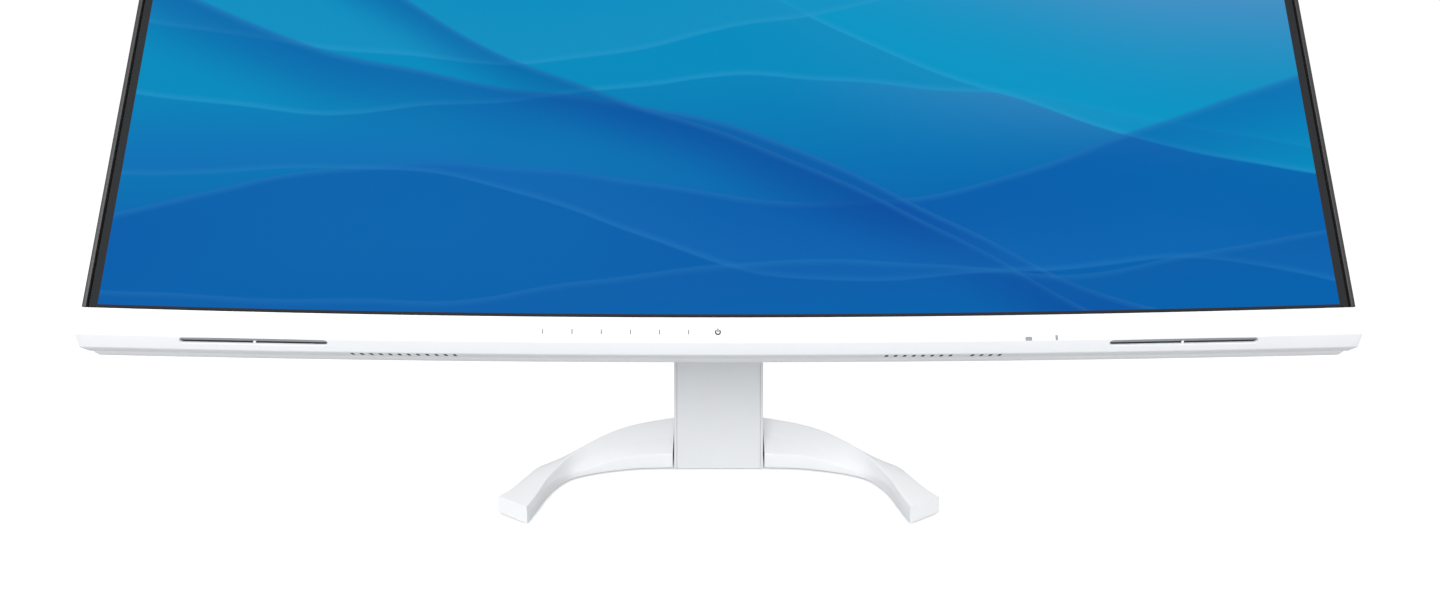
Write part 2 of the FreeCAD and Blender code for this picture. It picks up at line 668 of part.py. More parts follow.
def make_head():
    """Make the fork that swivels on the neck, its pins, washers and nuts."""
    frame = hinge_frame()
    near = "knuckle_half + washer_thick"
    far = near + " + ear_thick"
    foot = "-neck_top + barrel_rise + washer_thick"
    base = block(("-(%s)" % far, far), ("-ear_r", "ear_r"), (foot, foot + " + base_thick"), frame)
    parts = [base]
    for left, right in (("-(%s)" % far, "-(%s)" % near), (near, far)):
        parts.append(block((left, right), ("-ear_r", "ear_r"), (foot + " + base_thick / 2", "0"), frame))
        parts.append(rod("ear_r", "ear_thick", (left, "0", "0"), ALONG_X, frame))
    bore = rod("tilt_pin_r + pin_fit", "(%s) * 2 + 2" % far, ("-(%s) - 1" % far, "0", "0"), ALONG_X, frame)
    seat_hole = rod("swivel_pin_r + pin_fit", "base_thick + 2", ("0", "0", foot + " - 1"), frame=frame)
    cut(joined(parts), [bore, seat_hole], label="swivel_head")
    tip = "-neck_top - neck_tall - barrel_rise - clip_thick * 2"
    rod("swivel_pin_r", "%s + base_thick - (%s)" % (foot, tip), ("0", "0", tip), frame=frame,
        label="swivel_pin")
    clip_low = "-neck_top - neck_tall - barrel_rise - clip_thick"
    clip = rod("swivel_pin_r * 1.6", "clip_thick - pin_fit", ("0", "0", clip_low), frame=frame)
    eye = rod("swivel_pin_r + pin_fit", "clip_thick + 2", ("0", "0", clip_low + " - 1"), frame=frame)
    cut(clip, [eye], label="swivel_clip")
    disc = rod("barrel_r - pin_fit", "washer_thick", ("0", "0", "-neck_top + barrel_rise"), frame=frame)
    hole = rod("swivel_pin_r + pin_fit", "washer_thick + 2", ("0", "0", "-neck_top + barrel_rise - 1"),
               frame=frame)
    cut(disc, [hole], label="swivel_washer")
    ends = far + " + nut_wide"
    rod("tilt_pin_r", "(%s) * 2" % ends, ("-(%s)" % ends, "0", "0"), ALONG_X, frame, "tilt_pin")
    rings(("-knuckle_half - washer_thick + pin_fit", "knuckle_half + pin_fit"), "washer_thick - pin_fit * 2",
          "tilt_pin_r * 1.9", frame, "tilt_washers")
    rings(("-(%s) - nut_wide + pin_fit" % far, far + " + pin_fit"), "nut_wide - pin_fit * 2",
          "tilt_pin_r * 1.6", frame,
          "tilt_nuts")


def rings(starts, wide, radius, frame, label):
    """Make two rings on the tilt pin."""
    shapes = []
    for start in starts:
        disc = rod(radius, wide, (start, "0", "0"), ALONG_X, frame)
        hole = rod("tilt_pin_r + pin_fit", "(%s) + 2" % wide, ("(%s) - 1" % start, "0", "0"), ALONG_X, frame)
        shapes.append(cut(disc, [hole]))
    joined(shapes, label=label)


def make_neck():
    """Make the neck that carries the hinge out through the column's slot."""
    frame = hinge_frame()
    low, high = "-neck_top - neck_tall", "-neck_top"
    riser_face = "pivot_front + column_deep / 2 - riser_half_deep"
    bar = block(("-neck_half", "neck_half"), ("barrel_r / 2", riser_face + " - part_gap"), (low, high),
                frame)
    barrel = rod("barrel_r", "neck_tall + barrel_rise * 2", ("0", "0", low + " - barrel_rise"), frame=frame)
    pad = block(("-neck_pad", "neck_pad"), (riser_face + " - panel_thick", riser_face + " - pin_fit"),
                (low + " - neck_pad", high + " + neck_pad"), frame)
    bore = rod("swivel_pin_r + pin_fit", "neck_tall * 2", ("0", "0", low + " - neck_tall / 2"), frame=frame)
    cut(joined([bar, barrel, pad]), [bore], label="neck")


# ---------------------------------------------------------------- column and riser
def tube_wall(half, half_deep, wall, low, high, frame=WORLD, open_front=False):
    """Make a square tube, or a channel that is open to the front."""
    outer = block(("-(%s)" % half, half), ("-(%s)" % half_deep, half_deep), (low, high), frame)
    front = "-(%s) - 1" % half_deep if open_front else "-(%s) + %s" % (half_deep, wall)
    inner = block(("-(%s) + %s" % (half, wall), "%s - %s" % (half, wall)),
                  (front, "%s - %s" % (half_deep, wall)),
                  ("(%s) - 1" % low, "(%s) + 1" % high), frame)
    return outer, inner


def make_column():
    """Make the column: a channel, its front panel and cap, the block in its foot and the upper guides."""
    outer, inner = tube_wall("column_half", "column_deep / 2", "column_wall", "panel_foot", "column_top",
                             open_front=True)
    notch = block(("-column_half + column_wall / 2", "column_half - column_wall / 2"), ("0", "column_deep"),
                  ("-1", "pad_thick + plate_thick + pin_fit"))
    cut(outer, [inner, notch], label="column_shell")
    half = "column_half - strip_wide - panel_gap"
    front = (COLUMN_FRONT + " + panel_gap", COLUMN_FRONT + " + panel_gap + panel_thick")
    panel = block(("-(%s)" % half, half), front, ("panel_foot", "column_top"))
    slot = block(("-slot_half", "slot_half"), (COLUMN_FRONT, "0"),
                 ("pivot_height - lift_down - neck_top - neck_tall - slot_spare", "column_top + 1"))
    cut(panel, [slot], label="column_panel")
    cap = block(("-column_half", "column_half"), (COLUMN_FRONT, "column_deep / 2"),
                ("column_top", "column_top + cap_thick"))
    way = block(("-riser_half - slide_gap", "riser_half + slide_gap"),
                ("-riser_half_deep - slide_gap", "riser_half_deep + slide_gap"),
                ("column_top - 1", "column_top + 9"))
    front_way = block(("-slot_half", "slot_half"), (COLUMN_FRONT + " - 1", "0"),
                      ("column_top - 1", "column_top + 9"))
    pad_way = block(("-neck_pad - slide_gap", "neck_pad + slide_gap"),
                    (COLUMN_FRONT + " + panel_thick + panel_gap", "0"), ("column_top - 1", "column_top + 9"))
    cut(cap, [way, front_way, pad_way], label="column_cap")
    inside = "column_half - column_wall - part_gap"
    base = block(("-(%s)" % inside, inside), (COLUMN_FRONT + " + panel_gap + panel_thick + part_gap",
                 "column_deep / 2 - column_wall - part_gap"), ("pad_thick + plate_thick", "block_top"))
    cup = rod("gas_r + pin_fit", "block_top", ("0", "0", "gas_foot"))
    screws = [rod("bolt_r + pin_fit * 2", "block_top", (x + "plate_bolts / 4", y + "riser_half_deep", "0"))
              for x in ("-", "") for y in ("-", "")]
    cut(base, [cup] + screws, label="column_block")
    guides = [block(limits, ("-riser_half_deep", "riser_half_deep"),
                    ("column_top - guide_tall", "column_top - part_gap"))
              for limits in (("-(%s)" % inside, "-riser_half - slide_gap"),
                             ("riser_half + slide_gap", inside))]
    joined(guides, label="column_guides")


def make_riser():
    """Make the riser that slides in the column, its lower guides, its cap and the gas spring under it."""
    low, high = "pivot_height - riser_below", "pivot_height + riser_above"
    outer, inner = tube_wall("riser_half", "riser_half_deep", "riser_wall", low, high)
    cross_low = "pivot_height - rod_hang"
    cross = block(("-riser_half + riser_wall / 2", "riser_half - riser_wall / 2"),
                  ("-riser_half_deep + riser_wall / 2", "riser_half_deep - riser_wall / 2"),
                  (cross_low, cross_low + " + cross_thick"))
    joined([cut(outer, [inner]), cross], label="riser")
    inside = "column_half - column_wall - slide_gap"
    guides = [block(limits, ("-riser_half_deep", "riser_half_deep"), (low, low + " + guide_tall"))
              for limits in (("-(%s)" % inside, "-riser_half - pin_fit"), ("riser_half + pin_fit", inside))]
    joined(guides, label="riser_guides")
    block(("-riser_half", "riser_half"), ("-riser_half_deep", "riser_half_deep"),
          (high, high + " + cap_thick"),
          label="riser_cap")
    tube = rod("gas_r", "gas_long", ("0", "0", "gas_foot + pin_fit"))
    bore = rod("gas_rod_r + slide_gap", "gas_long", ("0", "0", "gas_foot + cap_thick * 2"))
    cut(tube, [bore], label="gas_spring_tube")
    rod("gas_rod_r", "gas_rod_long", ("0", "0", cross_low + " - gas_rod_long"), label="gas_spring_rod")


# ---------------------------------------------------------------- foot
# Each station of a leg: place of its front edge as shares of the foot's half width and reach, the
# angle of its cut across the leg, the height of its front rim, its ridge's distance and height, and
# its depth and back height.
STATIONS = [
    (0.837, 1.000, 41.5, 7.5, 0.8, 13.3, 38.2, 13.1),
    (0.820, 0.786, 27.0, 8.0, 0.8, 13.7, 29.0, 12.8),
    (0.798, 0.509, 27.0, 8.5, 1.6, 15.3, 26.6, 11.2),
    (0.745, 0.269, 28.0, 5.0, 3.0, 18.4, 32.7, 7.6),
    (0.665, 0.157, 35.0, 4.6, 10.6, 21.5, 36.8, 6.8),
    (0.559, 0.080, 37.0, 8.4, 20.0, 24.8, 46.0, 6.8),
    (0.412, 0.018, 58.6, 11.7, 30.5, 31.0, 63.4, 7.4),
    (0.238, 0.000, 90.0, 12.8, 38.9, 36.3, 104.0, 8.2),
]
LEG_STEPS = 3


def station(row):
    """Draw one upright section across the right leg, from its front edge to its back edge."""
    along, reach, angle, rim, ridge_at, ridge, deep, back = row
    sketch = doc.addObject("Sketcher::SketchObject", "Station")
    sketch.setExpression("Placement", bound(
        "placement(vector(foot_half * %s; %s - foot_reach * %s; 0); rotation(vector(0; 0; 1); %s))"
        " * placement(vector(0; 0; 0); rotation(vector(1; 0; 0); 90))" % (along, COLUMN_FRONT, reach,
                                                                          angle)))
    web = (ridge_at * 0.55, rim + (ridge - rim) * 0.4)
    points = [(0, 0), (0, rim), web, (ridge_at, ridge), (deep, back), (deep, 0)]
    count = len(points)
    spots = [FreeCAD.Vector(x, y, 0) for x, y in points]
    for i in range(count):
        sketch.addGeometry(Part.LineSegment(spots[i], spots[(i + 1) % count]), False)
    for i in range(count):
        sketch.addConstraint(Sketcher.Constraint("Coincident", i, 2, (i + 1) % count, 1))
    for i, (x, y) in enumerate(points):
        across = sketch.addConstraint(Sketcher.Constraint("DistanceX", -1, 1, i, 1, x))
        sketch.setExpression("Constraints[%d]" % across, "%s * Sheet.leg_wide" % x)
        up = sketch.addConstraint(Sketcher.Constraint("DistanceY", -1, 1, i, 1, y))
        sketch.setExpression("Constraints[%d]" % up, "Sheet.pad_thick + %s * Sheet.leg_tall" % y)
    return sketch


def curve_point(share, before, start, end, after):
    """Return the value part of the way from start to end on a smooth curve through four values."""
    cubic = 3 * start - 3 * end + after - before
    square = 2 * before - 5 * start + 4 * end - after
    slope = end - before
    return round(start + 0.5 * share * (slope + share * (square + share * cubic)), 4)


def smoothed(rows, steps):
    """Add stations between the given ones, along smooth curves that pass through every given value."""
    padded = [rows[0]] + rows + [rows[-1]]
    result = []
    for before, start, end, after in zip(padded, padded[1:], padded[2:], padded[3:]):
        for step in range(steps):
            columns = zip(before, start, end, after)
            result.append(tuple(curve_point(step / steps, *values) for values in columns))
    return result + [rows[-1]]


def make_foot():
    """Make the foot: a leg lofted through its stations, its mirror image, a hub, and the column's pocket."""
    sketches = [station(row) for row in smoothed(STATIONS, LEG_STEPS)]
    leg = doc.addObject("Part::Loft", "Leg")
    leg.Sections = sketches
    leg.Solid = True
    leg.Ruled = True
    other = doc.addObject("Part::Mirroring", "OtherLeg")
    other.Source = leg
    other.Normal = FreeCAD.Vector(1, 0, 0)
    hub = doc.addObject("Part::Extrusion", "Hub")
    hub.Base = sketches[-1]
    hub.DirMode = "Custom"
    hub.Dir = FreeCAD.Vector(-1, 0, 0)
    hub.Solid = True
    hub.setExpression("LengthFwd", bound("foot_half * %s * 2" % STATIONS[-1][0]))
    pocket = block(("-column_half - foot_clear", "column_half + foot_clear"),
                   (COLUMN_FRONT + " - 5", "column_deep / 2 + foot_clear"), ("-1", "leg_tall * 60"))
    shelf = block(("-shelf_half - part_gap", "shelf_half + part_gap"), ("0", "shelf_back + part_gap"),
                  ("-1", "pad_thick + plate_thick"))
    screws = [rod("bolt_r + pin_fit * 2", "pad_thick + screw_long + 1",
                  (x + "plate_bolts / 4", "screw_back", "0"))
              for x in ("-", "")]
    cut(joined([leg, other, hub]), [pocket, shelf] + screws, label="foot")


def make_foot_plate():
    """Make the steel plate that ties the column to the foot, its screws, and the pads under everything."""
    plate = block(("-shelf_half", "shelf_half"),
                  (COLUMN_FRONT + " + panel_gap + panel_thick + part_gap", "shelf_back"),
                  ("pad_thick", "pad_thick + plate_thick - pin_fit"))
    places = [(x + "plate_bolts / 4", y) for x in ("-", "") for y in ("-riser_half_deep", "riser_half_deep",
                                                                      "screw_back")]
    holes = [rod("bolt_r + pin_fit", "plate_thick + 2", (x, y, "pad_thick - 1")) for x, y in places]
    sinks = [rod("bolt_r * 1.9 + pin_fit", "screw_head", (x, y, "pad_thick - pin_fit")) for x, y in places]
    cut(plate, holes + sinks, label="foot_plate")
    shanks = [rod("bolt_r", "screw_long", (x, y, "pad_thick")) for x, y in places]
    heads = [rod("bolt_r * 1.9", "screw_head - pin_fit * 2", (x, y, "pad_thick")) for x, y in places]
    joined(shanks + heads, label="foot_screws")
    tips = [rod("pad_r", "pad_thick", (x + "foot_half * 0.895", COLUMN_FRONT + " - foot_reach * 0.79",
                                       "0")) for x in ("-", "")]
    backs = [rod("pad_r", "pad_thick", (x + "foot_half * 0.4", "column_deep * 0.8", "0")) for x in ("-", "")]
    joined(tips + backs, label="foot_pads")
    block(("-hub_pad_half", "hub_pad_half"), ("-hub_pad_half / 3", "hub_pad_half / 3"), ("0", "pad_thick"),
          label="hub_pad")


# ---------------------------------------------------------------- build, check and write
def faults():
    """Return what went wrong, if anything did."""
    bad = [item.Name for item in doc.Objects if "Invalid" in item.State or "Error" in item.State]
    for item in NODES:
        if item.Shape.isNull() or not item.Shape.isValid() or not item.Shape.Solids:
            bad.append(item.Label)
    return bad


fill_sheet()
make_chin()
make_frame()
make_screen()
for side_sign, side_name in ((-1, "left"), (1, "right")):
    make_speaker(side_sign, side_name)
make_cover()
make_mount()
make_boards()
make_sockets()
make_rocker()
make_arm()
make_head()
make_neck()
make_column()
make_riser()
make_foot()
make_foot_plate()
doc.recompute()
found = faults()
if found:
    raise RuntimeError("these did not build: " + ", ".join(found))
os.makedirs("parts", exist_ok=True)
for node in NODES:
    node.Shape.exportStep(os.path.join("parts", node.Label + ".step"))
print("wrote %d pieces" % len(NODES))
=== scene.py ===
"""A wide curved desktop monitor with two built-in speakers, on a stand that lifts and turns it.

Everything is in metres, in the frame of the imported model: +Z is up, the screen faces -Y, and the
origin is on the desk under the column. The display leans back about the tilt axis, so its pieces
are worked out upright, in the leaning frame, and then leaned.
"""

import json
import logging
import math
from dataclasses import dataclass, field
from enum import Enum
from typing import Callable, Sequence

import bmesh
import bpy
import numpy as np
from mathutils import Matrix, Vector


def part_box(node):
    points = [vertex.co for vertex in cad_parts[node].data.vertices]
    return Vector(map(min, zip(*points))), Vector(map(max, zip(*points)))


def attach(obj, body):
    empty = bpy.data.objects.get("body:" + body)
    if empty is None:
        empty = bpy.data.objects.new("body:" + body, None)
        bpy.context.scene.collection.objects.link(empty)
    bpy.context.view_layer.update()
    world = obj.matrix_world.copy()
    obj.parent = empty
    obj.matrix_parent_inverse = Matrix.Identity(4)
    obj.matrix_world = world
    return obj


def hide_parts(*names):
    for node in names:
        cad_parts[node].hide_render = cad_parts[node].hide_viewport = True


logging.basicConfig(level=logging.INFO, format="%(message)s")
LOG = logging.getLogger("monitor")

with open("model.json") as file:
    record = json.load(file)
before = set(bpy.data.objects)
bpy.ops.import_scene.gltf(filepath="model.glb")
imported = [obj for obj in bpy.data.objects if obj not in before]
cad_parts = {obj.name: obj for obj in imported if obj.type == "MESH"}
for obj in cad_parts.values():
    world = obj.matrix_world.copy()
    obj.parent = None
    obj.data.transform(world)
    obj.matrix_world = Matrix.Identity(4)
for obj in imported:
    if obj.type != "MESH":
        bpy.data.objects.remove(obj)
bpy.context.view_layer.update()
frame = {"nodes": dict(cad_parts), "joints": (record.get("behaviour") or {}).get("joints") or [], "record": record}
NODE_BODY = {n: b for b, names in frame["record"]["behaviour"]["bodies"].items() for n in names}
NODE_SLOT = {row["node"]: row["material_slot"] for row in frame["record"]["subparts"]}
JOINTS = {j["name"]: j for j in frame["joints"]}
MM = 0.001
CREASE = 32.0

Array = np.ndarray
Piece = bpy.types.Object
Material = bpy.types.Material
Placing = Callable[[Array], Array]


# ------------------------------------------------------------------ places and shapes
@dataclass(frozen=True)
class Lean:
    """The leaning frame: its origin on the tilt axis, its Y straight back from the screen."""

    pivot: tuple[float, float, float] = tuple(JOINTS["tilt"]["pos_m"])
    angle: float = math.radians(19.4)

    def apply(self, points: Array) -> Array:
        """Turn points of the leaning frame about the tilt axis into the world.

        Args:
            points: any array whose last axis is X, Y, Z.
        Returns:
            The same points in the world: Y' = y cos + z sin, Z' = -y sin + z cos, from the pivot.
        """
        x, y, z = np.moveaxis(points, -1, 0)
        c, s = math.cos(self.angle), math.sin(self.angle)
        return np.stack([x + self.pivot[0], y * c + z * s + self.pivot[1],
                         z * c - y * s + self.pivot[2]], axis=-1)


LEAN = Lean()


@dataclass(frozen=True)
class ScreenArc:
    """The cylinder that the screen lies on, and the heights of the bands of the display's front."""

    radius: float = 2300 * MM
    behind: float = 68 * MM
    over: float = 176 * MM

    def at(self, x: Array, deep: Array, high: Array) -> Array:
        """Place points on the arc.

        Args:
            x: distances to the right of the middle.
            deep: depths behind the screen's surface, square to it.
            high: heights over the line where the screen meets the chin.
        Returns:
            World points: off the middle the arc comes forward by r - sqrt(r^2 - x^2), where r is
            the radius and the depth together.
        """
        x, deep, high = np.broadcast_arrays(x, deep, high)
        r = self.radius + deep
        sag = r - np.sqrt(r * r - x * x)
        return LEAN.apply(np.stack([x, deep - sag - self.behind, high - self.over], axis=-1))

    def local(self, along: float) -> Placing:
        """Return the placing of a small frame on the arc: X along it, Y square back, Z up.

        Args:
            along: the frame's distance from the middle.
        Returns:
            A function from points of the frame to the world.
        """
        turn = -math.asin(along / self.radius)
        c, s = math.cos(turn), math.sin(turn)

        def place(points: Array) -> Array:
            """Turn about the arc's axis, then lean."""
            x, y, z = np.moveaxis(points, -1, 0)
            y = y + self.radius
            return LEAN.apply(np.stack([x * c - y * s, x * s + y * c - self.radius - self.behind,
                                        z - self.over], axis=-1))
        return place


ARC = ScreenArc()


def rounded(corners: Sequence[tuple[float, float]], radii: Sequence[float] | float,
            steps: int = 5) -> Array:
    """Round the corners of a closed outline, each by a quadratic curve between its two sides.

    Args:
        corners: the outline's corners in order.
        radii: how far along each side a corner's curve starts, one number or one per corner.
        steps: how many points each corner gets.
    Returns:
        An array of points, `steps` for every corner.
    """
    p = np.asarray(corners, float)
    r = np.broadcast_to(np.asarray(radii, float), (len(p),))
    return rounded_stack(p[None], r, steps)[0]


def rounded_stack(p: Array, r: Array, steps: int) -> Array:
    """Round the corners of many outlines at once; see `rounded`.

    Args:
        p: the outlines, as (outline, corner, 2).
        r: how far along its sides each corner starts.
        steps: how many points each corner gets.
    Returns:
        The outlines, as (outline, point, 2).
    """
    to_last, to_next = np.roll(p, 1, 1) - p, np.roll(p, -1, 1) - p
    long_last = np.linalg.norm(to_last, axis=-1, keepdims=True)
    long_next = np.linalg.norm(to_next, axis=-1, keepdims=True)
    a = p + to_last * np.minimum(r[None, :, None] / long_last, 0.45)
    b = p + to_next * np.minimum(r[None, :, None] / long_next, 0.45)
    t = np.linspace(0, 1, steps)[None, None, :, None]
    curve = (1 - t) ** 2 * a[:, :, None] + 2 * t * (1 - t) * p[:, :, None] + t ** 2 * b[:, :, None]
    return curve.reshape(len(p), -1, 2)


def inset(outline: Array, by: float) -> Array:
    """Move a closed outline inwards, each point along the mitre of its two sides.

    Args:
        outline: (n, 2) points.
        by: how far in.
    Returns:
        The moved points.
    """
    before, after = outline - np.roll(outline, 1, 0), np.roll(outline, -1, 0) - outline
    unit = lambda v: v / np.maximum(np.linalg.norm(v, axis=-1, keepdims=True), 1e-9)
    x, y = outline.T
    area = np.sum(x * np.roll(y, -1) - np.roll(x, -1) * y)
    normal = lambda v: np.stack([-v[:, 1], v[:, 0]], -1) * np.sign(area)
    mitre = unit(normal(unit(before)) + normal(unit(after)))
    share = np.clip(np.sum(mitre * normal(unit(after)), -1, keepdims=True), 0.35, 1)
    return outline + mitre * by / share


def stadium(half: float, radius: float, steps: int = 12) -> Array:
    """Return the outline of a bar with round ends, about the origin.

    Args:
        half: half of its length.
        radius: half of its height.
        steps: how many points each end gets.
    Returns:
        Its points, (2 * steps, 2).
    """
    turn = np.linspace(-math.pi / 2, math.pi / 2, steps)
    right = np.stack([half - radius + radius * np.cos(turn), radius * np.sin(turn)], -1)
    return np.concatenate([right, -right])


def oblong(x0: float, x1: float, z0: float, z1: float, soft: float, steps: int = 3) -> Array:
    """Return the outline of a rectangle with softened corners, from the lowest left one round."""
    return rounded([(x0, z0), (x1, z0), (x1, z1), (x0, z1)], soft, steps)


def lifted(outlines: Sequence[Array], levels: Sequence[float]) -> Array:
    """Return outlines, each at its own height, as (level, point, 3)."""
    return np.stack([np.column_stack([outline, np.full(len(outline), z)])
                     for outline, z in zip(outlines, levels)])


def linked(name: str, data: bpy.types.ID) -> Piece:
    """Make an object of some data and put it into the scene.

    Args:
        name: the object's name.
        data: its mesh, lamp or camera.
    Returns:
        The object.
    """
    piece = bpy.data.objects.new(name, data)
    bpy.context.scene.collection.objects.link(piece)
    return piece


def smooth(mesh: bpy.types.Mesh, crease: float) -> None:
    """Shade a mesh smoothly, apart from edges sharper than `crease` degrees."""
    mesh.shade_smooth()
    mesh.set_sharp_from_angle(angle=math.radians(crease))


def finish_mesh(name: str, verts: Array, faces: list, crease: float = CREASE) -> Piece:
    """Put points and faces into a new object with outward faces and smooth shading below an angle.

    Args:
        name: the piece's name.
        verts: (n, 3) points in the world.
        faces: lists of point numbers.
        crease: edges sharper than this many degrees stay sharp.
    Returns:
        The new object, at the origin.
    """
    mesh = bpy.data.meshes.new(name)
    mesh.from_pydata(verts.reshape(-1, 3).tolist(), [], faces)
    work = bmesh.new()
    work.from_mesh(mesh)
    bmesh.ops.remove_doubles(work, verts=work.verts, dist=1e-7)
    bmesh.ops.recalc_face_normals(work, faces=work.faces)
    if work.calc_volume(signed=True) < 0:
        bmesh.ops.reverse_faces(work, faces=work.faces)
    work.to_mesh(mesh)
    work.free()
    smooth(mesh, crease)
    return linked(name, mesh)


def lattice(points: Array, wrap: bool, first: int = 0) -> list:
    """Return the four-sided faces of a grid of points, row by row.

    Args:
        points: (rows, columns, 3).
        wrap: join the last column to the first.
        first: the number of the grid's first point.
    Returns:
        A list of faces.
    """
    rows, cols = points.shape[:2]
    index = np.arange(rows * cols).reshape(rows, cols) + first
    if wrap:
        index = np.concatenate([index, index[:, :1]], 1)
    quads = np.stack([index[:-1, :-1], index[:-1, 1:], index[1:, 1:], index[1:, :-1]], -1)
    return quads.reshape(-1, 4).tolist()


def closed_faces(points: Array, first: int = 0) -> list:
    """Return a sweep's side faces and one face over each end, for points numbered from `first`.

    Args:
        points: (stations, profile, 3).
        first: the number of the first point.
    Returns:
        A list of faces.
    """
    rows, cols = points.shape[:2]
    ends = [[first + row * cols + i for i in range(cols)] for row in (0, rows - 1)]
    return lattice(points, True, first) + ends


def sweep(name: str, points: Array, crease: float = CREASE) -> Piece:
    """Make a piece from a closed profile carried along a path: points is (stations, profile, 3).

    Args:
        name: the piece's name.
        points: the profile's points at each station.
        crease: see finish_mesh.
    Returns:
        The new object.
    """
    return finish_mesh(name, points, closed_faces(points), crease)


def prism(name: str, outline: Array, low: float, high: float, place: Placing,
          edge: float = 0.4 * MM) -> Piece:
    """Make a plate: an outline carried from low to high along Z, with rolled rims.

    Args:
        name: the piece's name.
        outline: (n, 2) points.
        low: where it starts.
        high: where it ends.
        place: turns (x, y, z) points of the plate into the world.
        edge: size of the rolled rim.
    Returns:
        The new object.
    """
    turn = np.linspace(0, math.pi / 2, 4)
    rings = [(edge * (1 - math.sin(a)), low + edge * (1 - math.cos(a))) for a in turn]
    rings += [(off, low + high - z) for off, z in reversed(rings)]
    insets, levels = [inset(outline, off) for off, _ in rings], [z for _, z in rings]
    return sweep(name, place(lifted(insets, levels)))


def carve(piece: Piece, cutters: Sequence[Array], crease: float) -> None:
    """Cut swept solids, each (stations, profile, 3), out of a piece for good.

    Args:
        piece: the piece to cut.
        cutters: the solids.
        crease: see finish_mesh.
    """
    verts, faces, first = [], [], 0
    for points in cutters:
        faces += closed_faces(points, first)
        verts.append(points.reshape(-1, 3))
        first += len(verts[-1])
    tool = finish_mesh("cutter", np.concatenate(verts), faces)
    modifier = piece.modifiers.new("Cut", "BOOLEAN")
    modifier.operation, modifier.solver, modifier.object = "DIFFERENCE", "EXACT", tool
    bake_modifiers(piece)
    bpy.data.objects.remove(tool)
    smooth(piece.data, crease)


def bake_modifiers(piece: Piece) -> None:
    """Replace a piece's mesh by what its modifiers make of it.

    Args:
        piece: the piece.
    """
    graph = bpy.context.evaluated_depsgraph_get()
    graph.update()
    done = bpy.data.meshes.new_from_object(piece.evaluated_get(graph))
    piece.modifiers.clear()
    piece.data = done


def merged(name: str, pieces: Sequence[Piece]) -> Piece:
    """Join separate shells into one piece.

    Args:
        name: the new piece's name.
        pieces: the shells, which are used up.
    Returns:
        The new piece.
    """
    work = bmesh.new()
    for one in pieces:
        work.from_mesh(one.data)
    mesh = bpy.data.meshes.new(name)
    work.to_mesh(mesh)
    work.free()
    smooth(mesh, CREASE)
    for one in pieces:
        bpy.data.objects.remove(one)
    return linked(name, mesh)


def softened(node: str, width: float) -> Piece:
    """Copy a CAD node, merge its loose triangles into whole faces and roll its sharp edges over.

    Args:
        node: the node's name.
        width: how wide the rolled edges are.
    Returns:
        A new piece, which replaces the node.
    """
    mesh = frame["nodes"][node].data.copy()
    work = bmesh.new()
    work.from_mesh(mesh)
    bmesh.ops.remove_doubles(work, verts=work.verts, dist=2e-6)
    flat = math.radians(1.0)
    bmesh.ops.dissolve_limit(work, angle_limit=flat, verts=work.verts, edges=work.edges)
    bmesh.ops.recalc_face_normals(work, faces=work.faces)
    work.to_mesh(mesh)
    work.free()
    mesh.materials.clear()
    mesh.shade_smooth()
    piece = linked(node + "_made", mesh)
    bevel = piece.modifiers.new("Edges", "BEVEL")
    bevel.width, bevel.segments, bevel.limit_method = width, 2, "ANGLE"
    bevel.angle_limit, bevel.use_clamp_overlap = math.radians(40), True
    bake_modifiers(piece)
    smooth(piece.data, 50)
    return piece


# ------------------------------------------------------------------ shader maths
@dataclass(frozen=True)
class Wire:
    """A socket that can be reckoned with: an expression on wires adds its Math nodes."""

    tree: bpy.types.NodeTree
    socket: bpy.types.NodeSocket

    def op(self, operation: str, *others: "Wire | float", swap: bool = False) -> "Wire":
        """Add a Math node.

        Args:
            operation: the node's operation.
            others: its further inputs.
            swap: put this wire second.
        Returns:
            The node's output.
        """
        math_node = self.tree.nodes.new("ShaderNodeMath")
        math_node.operation = operation
        terms = (*others, self) if swap else (self, *others)
        for slot_in, term in zip(math_node.inputs, terms):
            if isinstance(term, Wire):
                self.tree.links.new(term.socket, slot_in)
            else:
                slot_in.default_value = term
        return Wire(self.tree, math_node.outputs[0])

    def __add__(self, other: "Wire | float") -> "Wire":
        """Add."""
        return self.op("ADD", other)

    def __sub__(self, other: "Wire | float") -> "Wire":
        """Take away."""
        return self.op("SUBTRACT", other)

    def __rsub__(self, other: float) -> "Wire":
        """Take this away from a number."""
        return self.op("SUBTRACT", other, swap=True)

    def __mul__(self, other: "Wire | float") -> "Wire":
        """Multiply."""
        return self.op("MULTIPLY", other)

    def sine(self) -> "Wire":
        """Take the sine."""
        return self.op("SINE")

    def size(self) -> "Wire":
        """Drop the sign."""
        return self.op("ABSOLUTE")

    def ramp(self, low: float, high: float) -> "Wire":
        """Rise smoothly from 0 at low to 1 at high; falls where low is the larger.

        Args:
            low: where it is 0.
            high: where it is 1.
        Returns:
            The new wire.
        """
        node = self.tree.nodes.new("ShaderNodeMapRange")
        node.interpolation_type = "SMOOTHSTEP"
        flip = low > high
        self.tree.links.new(self.socket, node.inputs[0])
        limits = (high, low, 1, 0) if flip else (low, high, 0, 1)
        for slot_in, value in zip(node.inputs[1:5], limits):
            slot_in.default_value = value
        return Wire(self.tree, node.outputs[0])


def linear(red: int, green: int, blue: int) -> tuple[float, float, float, float]:
    """Turn a display colour of 0..255 into the shader's linear colour.

    Args:
        red: from 0 to 255.
        green: from 0 to 255.
        blue: from 0 to 255.
    Returns:
        The linear colour, with an alpha of 1.
    """
    def one(c: float) -> float:
        """Undo the display curve for one channel."""
        c /= 255
        return c / 12.92 if c <= 0.04045 else ((c + 0.055) / 1.055) ** 2.4
    return (one(red), one(green), one(blue), 1.0)


class Space(Enum):
    """Which way a pattern lies."""

    UPRIGHT = "upright"
    LEANING = "leaning"


